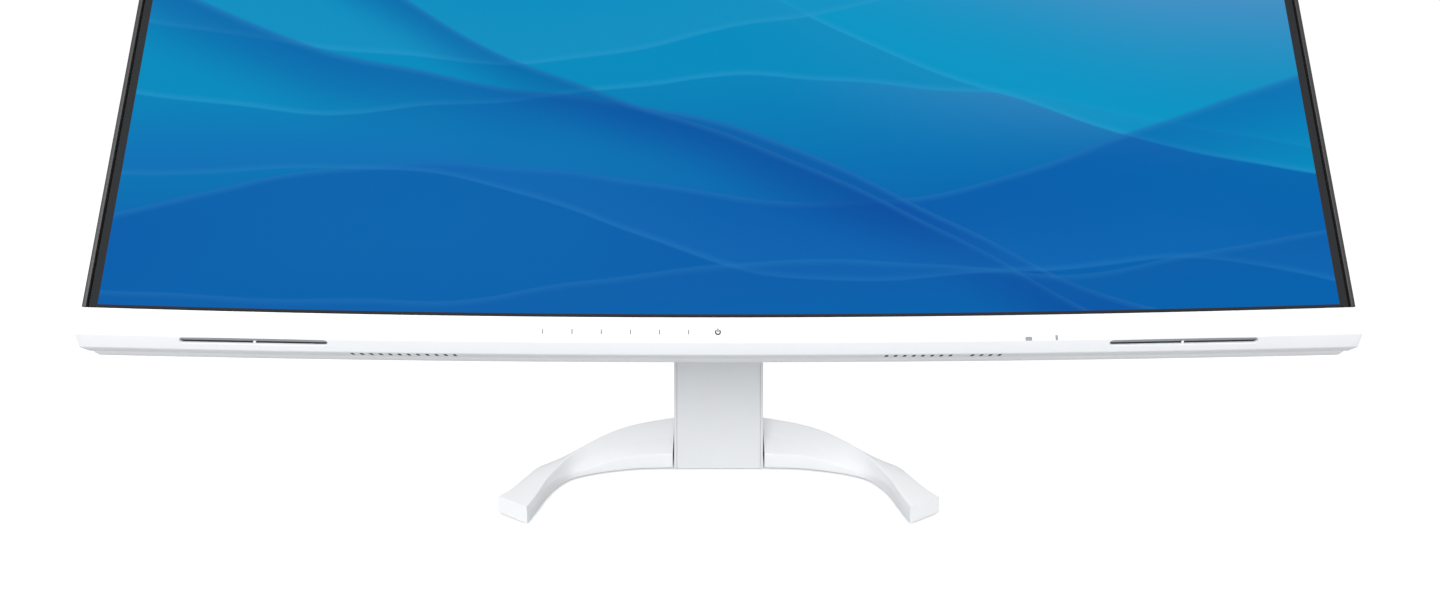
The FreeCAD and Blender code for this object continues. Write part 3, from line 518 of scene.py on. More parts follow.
class Recipe:
    """A material being built round one Principled shader."""

    def __init__(self, name: str, space: Space = Space.UPRIGHT, **sockets: object) -> None:
        """Start a material and set the shader's plain sockets.

        Args:
            name: the material's name.
            space: which way its patterns lie.
            sockets: Principled inputs by name, with spaces as underscores.
        """
        self.material = bpy.data.materials.new(name)
        self.material.use_nodes = True
        self.tree = self.material.node_tree
        self.tree.nodes.clear()
        self.shader = self.tree.nodes.new("ShaderNodeBsdfPrincipled")
        out = self.tree.nodes.new("ShaderNodeOutputMaterial")
        self.tree.links.new(self.shader.outputs[0], out.inputs[0])
        for key, value in sockets.items():
            self.shader.inputs[key.replace("_", " ")].default_value = value
        self.space = space
        self.place = self.mapped()

    def node(self, kind: str, settings: dict | None = None,
             inputs: dict | None = None) -> bpy.types.Node:
        """Add any other node.

        Args:
            kind: the node's type, without the ShaderNode prefix.
            settings: its properties, set first.
            inputs: values or wires for its sockets, by name or number.
        Returns:
            The node.
        """
        node = self.tree.nodes.new("ShaderNode" + kind)
        for key, value in (settings or {}).items():
            setattr(node, key, value)
        for key, value in (inputs or {}).items():
            if isinstance(value, Wire):
                self.tree.links.new(value.socket, node.inputs[key])
            else:
                node.inputs[key].default_value = value
        return node

    def wire(self, node: bpy.types.Node, output: int | str = 0) -> Wire:
        """Wrap a node's output."""
        return Wire(self.tree, node.outputs[output])

    def mapped(self, scale: tuple[float, float, float] = (1, 1, 1)) -> Wire:
        """Return object coordinates, upright or in the leaning frame with Z from the chin line.

        Args:
            scale: how much the pattern is squeezed along each axis.
        Returns:
            The coordinates.
        """
        coords = self.wire(self.node("TexCoord"), "Object")
        turn, shift = (0.0, 0.0, 0.0), (0.0, 0.0, 0.0)
        if self.space is Space.LEANING:
            c, s = math.cos(LEAN.angle), math.sin(LEAN.angle)
            x, y, z = LEAN.pivot
            turn, shift = (LEAN.angle, 0, 0), (-x, -(y * c - z * s), ARC.over - (y * s + z * c))
        inputs = {"Vector": coords, "Rotation": turn, "Location": shift}
        settled = self.wire(self.node("Mapping", None, inputs))
        if scale == (1, 1, 1):
            return settled
        return self.wire(self.node("Mapping", None, {"Vector": settled, "Scale": scale}))

    def axes(self) -> tuple[Wire, Wire, Wire]:
        """Return X, Y and Z of the material's space."""
        split = self.node("SeparateXYZ", None, {0: self.place})
        return self.wire(split, 0), self.wire(split, 1), self.wire(split, 2)

    def noise(self, pitch: float, detail: float = 2.0,
              stretch: tuple[float, float, float] = (1, 1, 1)) -> Wire:
        """Return soft noise about 0.5, with features of about `pitch` metres.

        Args:
            pitch: the size of its features.
            detail: how many finer layers it has.
            stretch: see mapped.
        Returns:
            Its value.
        """
        vector = self.place if stretch == (1, 1, 1) else self.mapped(stretch)
        inputs = {"Vector": vector, "Scale": 1 / pitch, "Detail": detail, "Roughness": 0.55}
        return self.wire(self.node("TexNoise", None, inputs))

    def cells(self, pitch: float, randomness: float = 1.0) -> Wire:
        """Return the distance to the nearest of scattered points about `pitch` apart.

        Args:
            pitch: how far apart the points are.
            randomness: 0 for a regular grid.
        Returns:
            The distance.
        """
        inputs = {"Vector": self.place, "Scale": 1 / pitch, "Randomness": randomness}
        return self.wire(self.node("TexVoronoi", None, inputs), "Distance")

    def mix(self, factor: "Wire | float", first: object, second: object) -> Wire:
        """Blend two colours.

        Args:
            factor: 0 for the first colour, 1 for the second.
            first: a colour or a wire.
            second: a colour or a wire.
        Returns:
            The blend.
        """
        node = self.node("Mix", {"data_type": "RGBA"}, {0: factor})
        for slot_in, colour in ((node.inputs[6], first), (node.inputs[7], second)):
            if isinstance(colour, Wire):
                self.tree.links.new(colour.socket, slot_in)
            else:
                slot_in.default_value = colour
        return self.wire(node, 2)

    def feed(self, socket: str, wire: Wire) -> None:
        """Link a wire to one of the shader's inputs."""
        self.tree.links.new(wire.socket, self.shader.inputs[socket])

    def bump(self, height: Wire, deep: float, strength: float) -> None:
        """Raise the surface by a height pattern; deep is in metres."""
        node = self.node("Bump", None, {"Height": height, "Distance": deep, "Strength": strength})
        self.feed("Normal", self.wire(node))


def shade(colour: tuple[float, ...], by: float) -> tuple[float, float, float, float]:
    """Make a colour lighter or darker."""
    return (*(min(1.0, c * by) for c in colour[:3]), 1.0)


@dataclass(frozen=True)
class Finish:
    """What every finish has: its material's name and its main colour."""

    name: str
    colour: tuple[float, ...]


@dataclass(frozen=True)
class Moulded(Finish):
    """Moulded plastic: a fine spark-eroded grain, faint mottling and an uneven shine."""

    rough: float = 0.45
    grain: float = 0.45 * MM
    deep: float = 0.02 * MM
    space: Space = Space.LEANING

    def build(self) -> Material:
        """Make the material."""
        r = Recipe(self.name, self.space)
        broad, fine, cells = r.noise(60 * MM, 3), r.noise(self.grain, 3), r.cells(self.grain * 1.6)
        dark, light = shade(self.colour, 0.965), shade(self.colour, 1.03)
        r.feed("Base Color", r.mix(broad * 0.5 + fine * 0.5, dark, light))
        r.feed("Roughness", fine * 0.14 + broad * 0.10 + (self.rough - 0.12))
        r.bump(fine * 0.6 + cells * 0.4, self.deep, 0.6)
        return r.material


@dataclass(frozen=True)
class Coated(Finish):
    """Powder coat on metal: orange peel over a finer tooth, a little duller in its hollows."""

    rough: float = 0.38
    peel: float = 1.6 * MM
    space: Space = Space.UPRIGHT

    def build(self) -> Material:
        """Make the material."""
        r = Recipe(self.name, self.space, Coat_Roughness=0.25)
        peel, tooth, broad = r.noise(self.peel, 2), r.noise(0.35 * MM, 3), r.noise(45 * MM, 3)
        dark, light = shade(self.colour, 0.97), shade(self.colour, 1.02)
        r.feed("Base Color", r.mix(broad * 0.6 + tooth * 0.4, dark, light))
        r.feed("Roughness", tooth * 0.12 + peel * 0.10 + (self.rough - 0.11))
        r.feed("Coat Weight", broad * 0.10 + 0.05)
        r.bump(peel * 0.7 + tooth * 0.3, 0.03 * MM, 0.6)
        return r.material


@dataclass(frozen=True)
class Plated(Finish):
    """Zinc plate or bare alloy: drawn streaks along one axis, with cloudy patches."""

    rough: float = 0.34
    stretch: tuple[float, float, float] = (0.04, 1, 1)
    space: Space = Space.UPRIGHT

    def build(self) -> Material:
        """Make the material."""
        r = Recipe(self.name, self.space)
        streak, cloud = r.noise(0.5 * MM, 3, self.stretch), r.noise(9 * MM, 4)
        spangle = r.cells(5 * MM)
        dark, light = shade(self.colour, 0.86), shade(self.colour, 1.1)
        r.feed("Base Color", r.mix(cloud * 0.6 + spangle * 0.4, dark, light))
        r.feed("Metallic", cloud * 0.06 + 0.92)
        r.feed("Roughness", streak * 0.22 + cloud * 0.14 + (self.rough - 0.16))
        r.bump(streak, 0.02 * MM, 0.5)
        return r.material


@dataclass(frozen=True)
class Rubbery(Finish):
    """Rubber: matt, with a fine pebbled skin and a dusting on top."""

    def build(self) -> Material:
        """Make the material."""
        r = Recipe(self.name)
        dust, pebble = r.noise(4 * MM, 4), r.cells(0.6 * MM)
        r.feed("Base Color", r.mix(dust.ramp(0.5, 0.8), self.colour, shade(self.colour, 1.9)))
        r.feed("Roughness", dust * 0.15 + 0.72)
        r.bump(pebble, 0.05 * MM, 0.6)
        return r.material


@dataclass(frozen=True)
class Board(Finish):
    """A circuit board: solder mask with square-cut traces, tinned pads and darker parts on top."""

    def build(self) -> Material:
        """Make the material."""
        r = Recipe(self.name, Space.LEANING)
        inputs = {"Vector": r.place, "Scale": 240.0}
        lanes = r.wire(r.node("TexVoronoi", {"distance": "CHEBYCHEV"}, inputs), "Distance")
        pads = r.cells(4 * MM, 0.3)
        copper = r.mix(lanes.ramp(0.45, 0.5), shade(self.colour, 1.5), self.colour)
        r.feed("Base Color", r.mix(pads.ramp(0.16, 0.12), copper, linear(196, 190, 170)))
        r.feed("Metallic", pads.ramp(0.16, 0.12) * 0.9)
        r.feed("Roughness", r.noise(2 * MM) * 0.2 + 0.3)
        r.bump(lanes.ramp(0.5, 0.45), 0.03 * MM, 0.5)
        return r.material


@dataclass(frozen=True)
class Mesh(Finish):
    """A pressed dark grille: rows of round holes on a staggered pitch, painted darker inside as painted shade."""

    pitch: float = 1.1 * MM

    def build(self) -> Material:
        """Make the material."""
        r = Recipe(self.name, Space.LEANING)
        x, _, z = r.axes()
        row = (x * (2 * math.pi / self.pitch)).sine() * (z * (2 * math.pi / self.pitch)).sine()
        hole = row.ramp(0.15, 0.45)
        # the holes are painted darker than the grille: painted shade inside them
        r.feed("Base Color", r.mix(hole, self.colour, shade(self.colour, 0.2)))
        r.feed("Roughness", r.noise(0.8 * MM) * 0.2 + 0.5)
        r.bump(1 - hole, 0.2 * MM, 0.8)
        return r.material


@dataclass(frozen=True)
class Smoked(Finish):
    """Smoked clear plastic over a dark sensor: glossy, with fine scratches."""

    def build(self) -> Material:
        """Make the material."""
        r = Recipe(self.name, Space.LEANING, Coat_Roughness=0.05)
        scratch = r.noise(0.3 * MM, 3, (0.05, 1, 1))
        r.feed("Base Color", r.mix(r.noise(3 * MM), self.colour, shade(self.colour, 1.3)))
        r.feed("Roughness", scratch * 0.12 + 0.10)
        r.feed("Coat Weight", scratch * 0.1 + 0.4)
        r.bump(scratch, 0.005 * MM, 0.4)
        return r.material


@dataclass(frozen=True)
class Ribbon:
    """One soft wave of the picture: its edge is lift + slope x + swing sin(turns x + phase)."""

    lift: float
    slope: float
    swing: float
    turns: float
    phase: float
    wide: float
    strength: float
    colour: tuple[int, int, int]
    below: bool = False


@dataclass(frozen=True)
class Picture:
    """The lit screen: soft overlapping waves in blue inside a dark border, under a matt film."""

    name: str
    half: float
    low: float
    high: float
    border: float = 5.2 * MM
    ribbons: tuple[Ribbon, ...] = (
        Ribbon(0.165, -0.06, 0.030, 6.5, 0.9, 0.22, 0.80, (0, 140, 190)),
        Ribbon(0.250, -0.25, 0.040, 6.0, 2.4, 0.16, 0.75, (0, 152, 198)),
        Ribbon(0.235, 0.06, 0.022, 8.0, -0.4, 0.12, 0.62, (20, 146, 194)),
        Ribbon(0.110, 0.10, 0.030, 8.0, 3.7, 0.10, 0.55, (0, 84, 168), True),
        Ribbon(0.128, -0.34, 0.024, 8.5, 1.3, 0.07, 0.62, (4, 78, 162), True),
        Ribbon(0.140, -0.52, 0.018, 9.0, 0.2, 0.05, 0.55, (0, 74, 156), True),
        Ribbon(0.060, -0.12, 0.020, 11.0, 4.1, 0.06, 0.45, (16, 106, 182)),
        Ribbon(0.032, 0.06, 0.012, 12.0, 1.1, 0.045, 0.40, (10, 92, 168), True),
    )

    def build(self) -> Material:
        """Make the material: each ribbon is bright along its edge and fades away on one side."""
        r = Recipe(self.name, Space.LEANING, Specular_IOR_Level=0.02)
        x, _, z = r.axes()
        warp = r.noise(190 * MM, 1) * 0.030 - 0.015
        up = z + warp
        base = r.mix((z + x * -0.06).ramp(0.02, 0.27), linear(0, 97, 172), linear(0, 140, 190))
        pale = (x + z * 0.7).ramp(0.15, 0.52) * z.ramp(0.10, 0.27)
        base = r.mix(pale, base, linear(92, 146, 200))
        for rib in self.ribbons:
            edge = up - ((x * rib.turns + rib.phase).sine() * rib.swing + x * rib.slope + rib.lift)
            side = (0 - edge) if rib.below else edge
            cover = side.ramp(-0.0015, 0.0015) * side.ramp(rib.wide, 0.0)
            base = r.mix(cover * rib.strength, base, linear(*rib.colour))
            glint = side.size().ramp(0.006, 0.0) * side.ramp(-0.001, 0.001)
            base = r.mix(glint * (0.22 * rib.strength), base, linear(70, 170, 225))
        blur = 0.0002
        across = (self.half - self.border) - x.size()
        lit = across.ramp(-blur, blur) * (z - self.low).ramp(-blur, blur)
        lit = lit * (self.high - z).ramp(-blur, blur)
        r.feed("Base Color", r.mix(lit, linear(44, 45, 47), (0.0006, 0.001, 0.002, 1)))
        r.feed("Emission Color", r.mix(lit, (0, 0, 0, 1), base))
        r.shader.inputs["Emission Strength"].default_value = 1.0
        film = r.noise(0.12 * MM, 2)
        r.feed("Roughness", film * 0.15 + 0.42)
        r.bump(film, 0.004 * MM, 0.3)
        return r.material


WHITE = (0.93, 0.935, 0.94, 1.0)
FINISHES = {
    "white_plastic": Moulded("white_shell", WHITE, 0.42),
    "white_metal": Coated("white_coat", (0.91, 0.92, 0.935, 1.0)),
    "column_paint": Coated("column_coat", (0.83, 0.845, 0.865, 1.0), 0.34, 1.2 * MM),
    "dark_plastic": Moulded("dark_frame", linear(38, 38, 39), 0.42, 0.35 * MM),
    "clear_acrylic": Moulded("guide_sheet", (0.85, 0.87, 0.88, 1.0), 0.2),
    "zinc_steel": Plated("zinc_plate", (0.62, 0.63, 0.64, 1.0)),
    "alloy_tray": Plated("alloy_sheet", (0.66, 0.67, 0.68, 1.0), 0.4),
    "dark_grille": Mesh("grille_paint", (0.014, 0.014, 0.015, 1.0)),
    "speaker_case": Moulded("speaker_box", (0.03, 0.03, 0.032, 1.0), 0.5, 0.7 * MM, 0.04 * MM),
    "speaker_cone": Rubbery("cone_pulp", (0.05, 0.05, 0.055, 1.0)),
    "magnet": Plated("sintered_magnet", (0.16, 0.16, 0.17, 1.0), 0.6, (1, 1, 1)),
    "circuit": Board("solder_mask", (0.02, 0.13, 0.06, 1.0)),
    "socket_shell": Plated("socket_steel", (0.55, 0.55, 0.56, 1.0), 0.28, (1, 0.05, 1)),
    "black_plastic": Moulded("black_nylon", (0.02, 0.02, 0.021, 1.0), 0.5),
    "guide_polymer": Moulded("acetal", (0.80, 0.80, 0.76, 1.0), 0.35),
    "rubber": Rubbery("foot_rubber", (0.05, 0.05, 0.052, 1.0)),
    "sensor_glass": Smoked("sensor_window", (0.24, 0.26, 0.29, 1.0)),
}
MADE: dict[str, Material] = {}


def material_for(slot_name: str) -> Material:
    """Return the material of a slot, building it the first time.

    Args:
        slot_name: the record's material slot.
    Returns:
        Its material.
    """
    if slot_name not in MADE:
        MADE[slot_name] = FINISHES[slot_name].build()
    return MADE[slot_name]


def dress(piece: Piece, slot_name: str, body: str, nodes: Sequence[str] = (),
          material: Material | None = None) -> Piece:
    """Give a piece its finish, make it ride on its body, and hide the CAD nodes it stands for.

    Args:
        piece: the finished piece.
        slot_name: the record's material slot.
        body: the body that it moves with.
        nodes: the nodes that it replaces.
        material: a finish other than the slot's own.
    Returns:
        The same piece.
    """
    piece.data.materials.clear()
    piece.data.materials.append(material or material_for(slot_name))
    if nodes:
        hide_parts(*nodes)
    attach(piece, body)
    LOG.info("%s: %d faces, on %s", piece.name, len(piece.data.polygons), body)
    return piece


# ------------------------------------------------------------------ the display
@dataclass
class Front:
    """The display's front: the chin with its slots, the dark frame and the screen."""

    half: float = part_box("chin")[1][0]
    face: float = 18.9 * MM
    bevel: float = 8.2 * MM
    drop: float = 1.0 * MM
    deep: float = 20 * MM
    wall: float = 2.5 * MM
    frame_half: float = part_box("side_frame")[1][0]
    frame_top: float = 378.0 * MM
    strip: float = 2.7 * MM
    lip: float = 6 * MM
    lip_thick: float = 3.5 * MM
    gap: float = 1.4 * MM
    glass: tuple[float, float] = (0.8 * MM, 2.8 * MM)
    image_low: float = 2.2 * MM
    image_high: float = 368.7 * MM
    slot_at: float = 331.3 * MM
    slot_half: float = 50 * MM
    slot_tall: float = 4.6 * MM
    slot_down: float = 3.4 * MM
    slot_flare: float = 0.35 * MM
    slot_deep: float = 6 * MM
    grille: tuple[float, float] = (-2.5 * MM, -1.7 * MM)
    rib_half: float = 0.8 * MM
    fit: float = 0.15 * MM
    hood_foot: float = -0.1 * MM
    vent_at: float = 13 * MM
    vent_half: float = 1.25 * MM
    vent_long: float = 3.3 * MM
    vent_rise: float = 0.085
    vent_cut: tuple[float, float] = (32 * MM, 22 * MM)
    vent_fill: tuple[float, float] = (27.4 * MM, 24.4 * MM)
    vent_rows: tuple = ((-267.2, 6.62, 12), (124.6, 6.69, 8), (187.3, 6.53, 4))
    pane: tuple[float, float] = (0.05 * MM, 2.4 * MM)
    pane_cut: tuple[float, float] = (-3 * MM, 3.4 * MM)
    key_first: float = -129.2 * MM
    key_step: float = 21.42 * MM
    keys: int = 6
    key_high: float = -11.2 * MM
    power_at: float = -0.5 * MM
    light_at: float = 244.6 * MM
    light_high: float = -17.1 * MM
    mark_thick: float = 0.04 * MM
    stations: int = 161

    def build(self) -> None:
        """Make every piece of the front."""
        self.chin()
        self.frame()
        self.screen()
        for side, name in ((-1, "left"), (1, "right")):
            self.slot_front(side, name)
        self.vent_screens()
        self.sensor()
        self.marks()

    def slot_place(self, side: int) -> Placing:
        """Return the frame of a slot: on the bevel, X along it and Z straight out of it.

        Args:
            side: -1 for the left slot, 1 for the right one.
        Returns:
            A function from points of the frame to the world.
        """
        home = ARC.local(side * self.slot_at)
        c = math.sqrt(0.5)
        start = self.slot_down * c

        def place(points: Array) -> Array:
            """Turn by 135 degrees about X from the bevel's upper edge."""
            x, y, z = np.moveaxis(points, -1, 0)
            return home(np.stack([x, start - (y + z) * c, -self.face - start + (y - z) * c], -1))
        return place

    def chin(self) -> None:
        """Make the white chin: a profile carried along the arc, cut for slots, vents and sensor."""
        foot = self.face + self.bevel + self.drop
        soft = 0.3 * MM
        corners = [(0, -soft), (0, -self.face), (self.bevel, -self.face - self.bevel),
                   (self.deep, -foot), (self.deep, -foot + self.wall),
                   (self.bevel + self.wall * 0.4, -self.face - self.bevel + self.wall),
                   (self.wall, -self.face + self.wall * 0.4), (self.wall, -soft)]
        radii = np.array([0.35, 1.0, 1.2, 0.3, 0.3, 1, 1, 0.3]) * MM
        profile = rounded(corners, radii, 6)
        x = np.linspace(-self.half, self.half, self.stations)
        ends = 0.22 * MM
        roll = np.array([0, 0.3 * ends, ends])
        x = np.concatenate([x[0] + roll, x[1:-1], (x[-1] - roll)[::-1]])
        drawn_in = np.zeros(len(x))
        drawn_in[[0, -1]], drawn_in[[1, -2]] = ends, 0.3 * ends
        rings = [inset(profile, off) if off else profile for off in drawn_in]
        rows = [ARC.at(place_x, ring[:, 0], ring[:, 1]) for place_x, ring in zip(x, rings)]
        shell = sweep("chin_shell", np.stack(rows), crease=28)
        cutters = [self.slot_cutter(side) for side in (-1, 1)] + self.vent_cutters()
        cutters.append(self.sensor_rings(0.0, *self.pane_cut))
        carve(shell, cutters, 28)
        ends_x = self.half - self.wall
        caps = []
        for side in (-1, 1):
            outer = rounded([(0.2 * MM, -soft), (0.2 * MM, -self.face + 0.1 * MM),
                             (self.bevel, -self.face - self.bevel + 0.3 * MM),
                             (self.deep, -foot + 0.2 * MM), (self.deep, -soft)], 0.3 * MM, 3)
            span = np.array([ends_x, self.half - 0.5 * MM]) * side
            caps.append(sweep("end", ARC.at(span[:, None], outer[:, 0], outer[:, 1])))
        whole = merged("chin_shell_made", [shell, *caps])
        # the chin gets a darker copy of the white plastic: painted shade that dims its bevel and face
        finish = Moulded("chin_white", (0.835, 0.845, 0.865, 1.0), 0.42)
        dress(whole, "white_plastic", "display", ["chin"], finish.build())

    def slot_cutter(self, side: int) -> Array:
        """Return the solid that cuts a slot: a round-ended bar whose mouth flares a little.

        Args:
            side: see slot_place.
        Returns:
            The solid's rings.
        """
        place = self.slot_place(side)
        flare = self.slot_flare
        outlines = [stadium(self.slot_half + off, self.slot_tall / 2 + off)
                    for off in (0.0, 0.0, flare, flare)]
        return place(lifted(outlines, (-self.slot_deep, -flare, 0.0, 2 * MM)))

    def vent_cutters(self) -> list[Array]:
        """Return small leaning bars that cut the rows of vents through the chin's underside."""
        return [self.vent(start, 0.0, *self.vent_cut) for start in self.vents()]

    def vent(self, start: float, off: float, low: float, high: float) -> Array:
        """Return one vent's rings: a soft oblong along the depth, between two levels.

        Args:
            start: its middle along the arc.
            off: how far its sides are drawn in.
            low: the depth of its lower end below the screen.
            high: the depth of its upper end.
        Returns:
            Two rings, as (level, point, 3).
        """
        half, long = self.vent_half - off, self.vent_long - off
        x, y = oblong(-half, half, -long, long, 0.4 * MM).T
        return np.stack([ARC.at(start + x, self.vent_at + y, -level - y * self.vent_rise)
                         for level in (high, low)])

    def vents(self) -> Array:
        """Return the places along the arc of the three rows of vents."""
        rows = [first + pitch * np.arange(count) for first, pitch, count in self.vent_rows]
        return np.concatenate(rows) * MM

    def vent_screens(self) -> None:
        """Make the dark gauze that fills the vents, a tenth of a millimetre inside their mouths."""
        for name, side in (("left", -1), ("right", 1)):
            plugs = [sweep("plug", self.vent(start, 0.04 * MM, *self.vent_fill))
                     for start in self.vents() if start * side > 0]
            dress(merged("vent_screen_" + name, plugs), "dark_grille", "display")

    def sensor_rings(self, off: float, front: float, back: float) -> Array:
        """Return the sensor window's outline, drawn in by `off`, at two depths.

        Args:
            off: how far the outline is drawn in.
            front: the depth of the first ring behind the chin's face.
            back: the depth of the second.
        Returns:
            Two rings, as (level, point, 3).
        """
        low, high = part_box("sensor_window")
        half, mid = (high[0] - low[0]) / 2 + 0.12 * MM - off, (high[0] + low[0]) / 2
        foot, top = off - 0.1 * MM, 2.7 * MM - off
        x, z = oblong(-half, half, foot, top, 0.3 * MM, 4).T
        return np.stack([ARC.at(mid + x, deep, z - self.face) for deep in (front, back)])

    def sensor(self) -> None:
        """Make the small smoked pane of the light sensor, a hair behind the chin's face."""
        pane = sweep("sensor_pane", self.sensor_rings(0.1 * MM, *self.pane))
        dress(pane, "sensor_glass", "display", ["sensor_window"])

    def frame(self) -> None:
        """Make the dark frame: an L section carried up one side, over and down the other."""
        strip, deep, wide = self.strip, self.deep, self.strip + self.lip
        back = deep - self.lip_thick
        corners = [(0, 0), (0, deep), (wide, deep), (wide, back), (strip, back), (strip, 0)]
        section = rounded(corners, np.array([0.5, 0.6, 0.3, 0.3, 0.3, 0.35]) * MM, 4)
        half, top = self.frame_half, self.frame_top
        along = np.linspace(-half, half, self.stations)
        inward = np.zeros((self.stations + 2, 2))
        over = np.column_stack([along, np.full(len(along), top)])
        path = np.concatenate([[(-half, 0)], over, [(half, 0)]])
        inward[0], inward[-1] = (1, 0), (-1, 0)
        inward[1:-1] = (0, -1)
        inward[1], inward[-2] = (1, -1), (-1, -1)
        rows = path[:, None, :] + inward[:, None, :] * section[None, :, :1]
        run, high = rows[..., 0], rows[..., 1]
        # inner points of the top run that lie past a mitred corner are drawn back to it
        limit = half - section[None, :, 0]
        run = np.clip(run, -limit, limit)
        piece = sweep("side_frame_shell", ARC.at(run, section[None, :, 1], high), crease=30)
        dress(piece, "dark_plastic", "display", ["side_frame"])

    def screen(self) -> None:
        """Make the panel: a curved sheet of glass with rolled edges."""
        half = self.frame_half - self.strip - self.gap
        low, high = 0.2 * MM, self.frame_top - self.strip - self.gap
        front, back = self.glass
        section = rounded([(front, low), (front, high), (back, high), (back, low)], 0.25 * MM, 4)
        x = np.linspace(-half, half, self.stations)
        points = ARC.at(x[:, None], section[None, :, 0], section[None, :, 1])
        piece = sweep("screen_glass", points, crease=30)
        picture = Picture("screen_picture", half, self.image_low, self.image_high)
        dress(piece, "screen", "display", ["panel"], picture.build())

    def slot_front(self, side: int, name: str) -> None:
        """Make one slot's dark grille and the pale rib across its middle.

        Args:
            side: see slot_place.
            name: the side's name.
        """
        place = self.slot_place(side)
        half = self.slot_tall / 2 - self.fit
        bar = stadium(self.slot_half - self.fit, half)
        strip = prism("grille_" + name, bar, *self.grille, place, self.fit)
        dress(strip, "dark_grille", "display", ["speaker_grille_" + name])
        outline = oblong(-self.rib_half, self.rib_half, -half, 0, 0.3 * MM, 4)
        rib = prism("slot_rib_" + name, outline, -2.0 * MM, -0.5 * MM, place, 0.25 * MM)
        dress(rib, "white_plastic", "display")
        self.hood(place, name)

    def hood(self, place: Placing, name: str) -> None:
        """Make the sloped upper wall of a slot: it falls from the bevel's surface to the grille, in a mid grey
        that is painted shade.

        Its outline is the upper part of the slot's, and its top drops in proportion to the distance
        from the slot's upper edge.

        Args:
            place: the slot's frame.
            name: the side's name.
        """
        half, foot = self.slot_tall / 2 - 0.1 * MM, self.hood_foot
        outline = stadium(self.slot_half - 0.1 * MM, half, 16)
        outline[:, 1] = np.maximum(outline[:, 1], foot)
        fall = (half - outline[:, 1]) / (half - foot)
        rings = lifted([outline] * 2, (-2.3 * MM, 0))
        rings[1, :, 2] = -0.25 * MM - 0.8 * MM * fall
        # the wall's mid grey stands for the white plastic in shade: painted shade
        wall = Moulded("slot_wall_" + name, linear(150, 155, 164), 0.5).build()
        dress(sweep("slot_hood_" + name, place(rings)), "white_plastic", "display", (), wall)

    def marks(self) -> None:
        """Make the touch keys' raised ticks, the power ring and the small status light."""
        def lay(outline: Array, at: float, high: float) -> Piece:
            """Raise an outline by a hair from the chin's face."""
            x, z = outline.T
            depths = (0.3 * MM, -self.mark_thick)
            return sweep("mark", np.stack([ARC.at(at + x, deep, high + z) for deep in depths]))

        tick = oblong(-0.5 * MM, 0.5 * MM, -1.8 * MM, 1.8 * MM, 0.2 * MM)
        ticks = [lay(tick, self.key_first + i * self.key_step, self.key_high)
                 for i in range(self.keys)]
        faint = Moulded("key_print_pale", linear(120, 123, 128), 0.5).build()
        dress(merged("key_marks", ticks), "white_plastic", "display", (), faint)
        turn = np.linspace(math.radians(125), math.radians(415), 40)
        arc = np.stack([np.cos(turn), np.sin(turn)], -1)
        ring = np.concatenate([2.3 * MM * arc, 1.15 * MM * arc[::-1]])
        bar = oblong(-0.45 * MM, 0.45 * MM, 0.1 * MM, 2.7 * MM, 0.15 * MM)
        shapes = [lay(shape, self.power_at, self.key_high) for shape in (ring, bar)]
        dark = Moulded("key_print_dark", linear(30, 31, 33), 0.5).build()
        dress(merged("power_mark", shapes), "white_plastic", "display", (), dark)
        light = oblong(-0.9 * MM, 0.9 * MM, -1.8 * MM, 1.8 * MM, 0.3 * MM, 4)
        lamp = dress(lay(light, self.light_at, self.light_high), "sensor_glass", "display")
        lamp.name = "status_light"


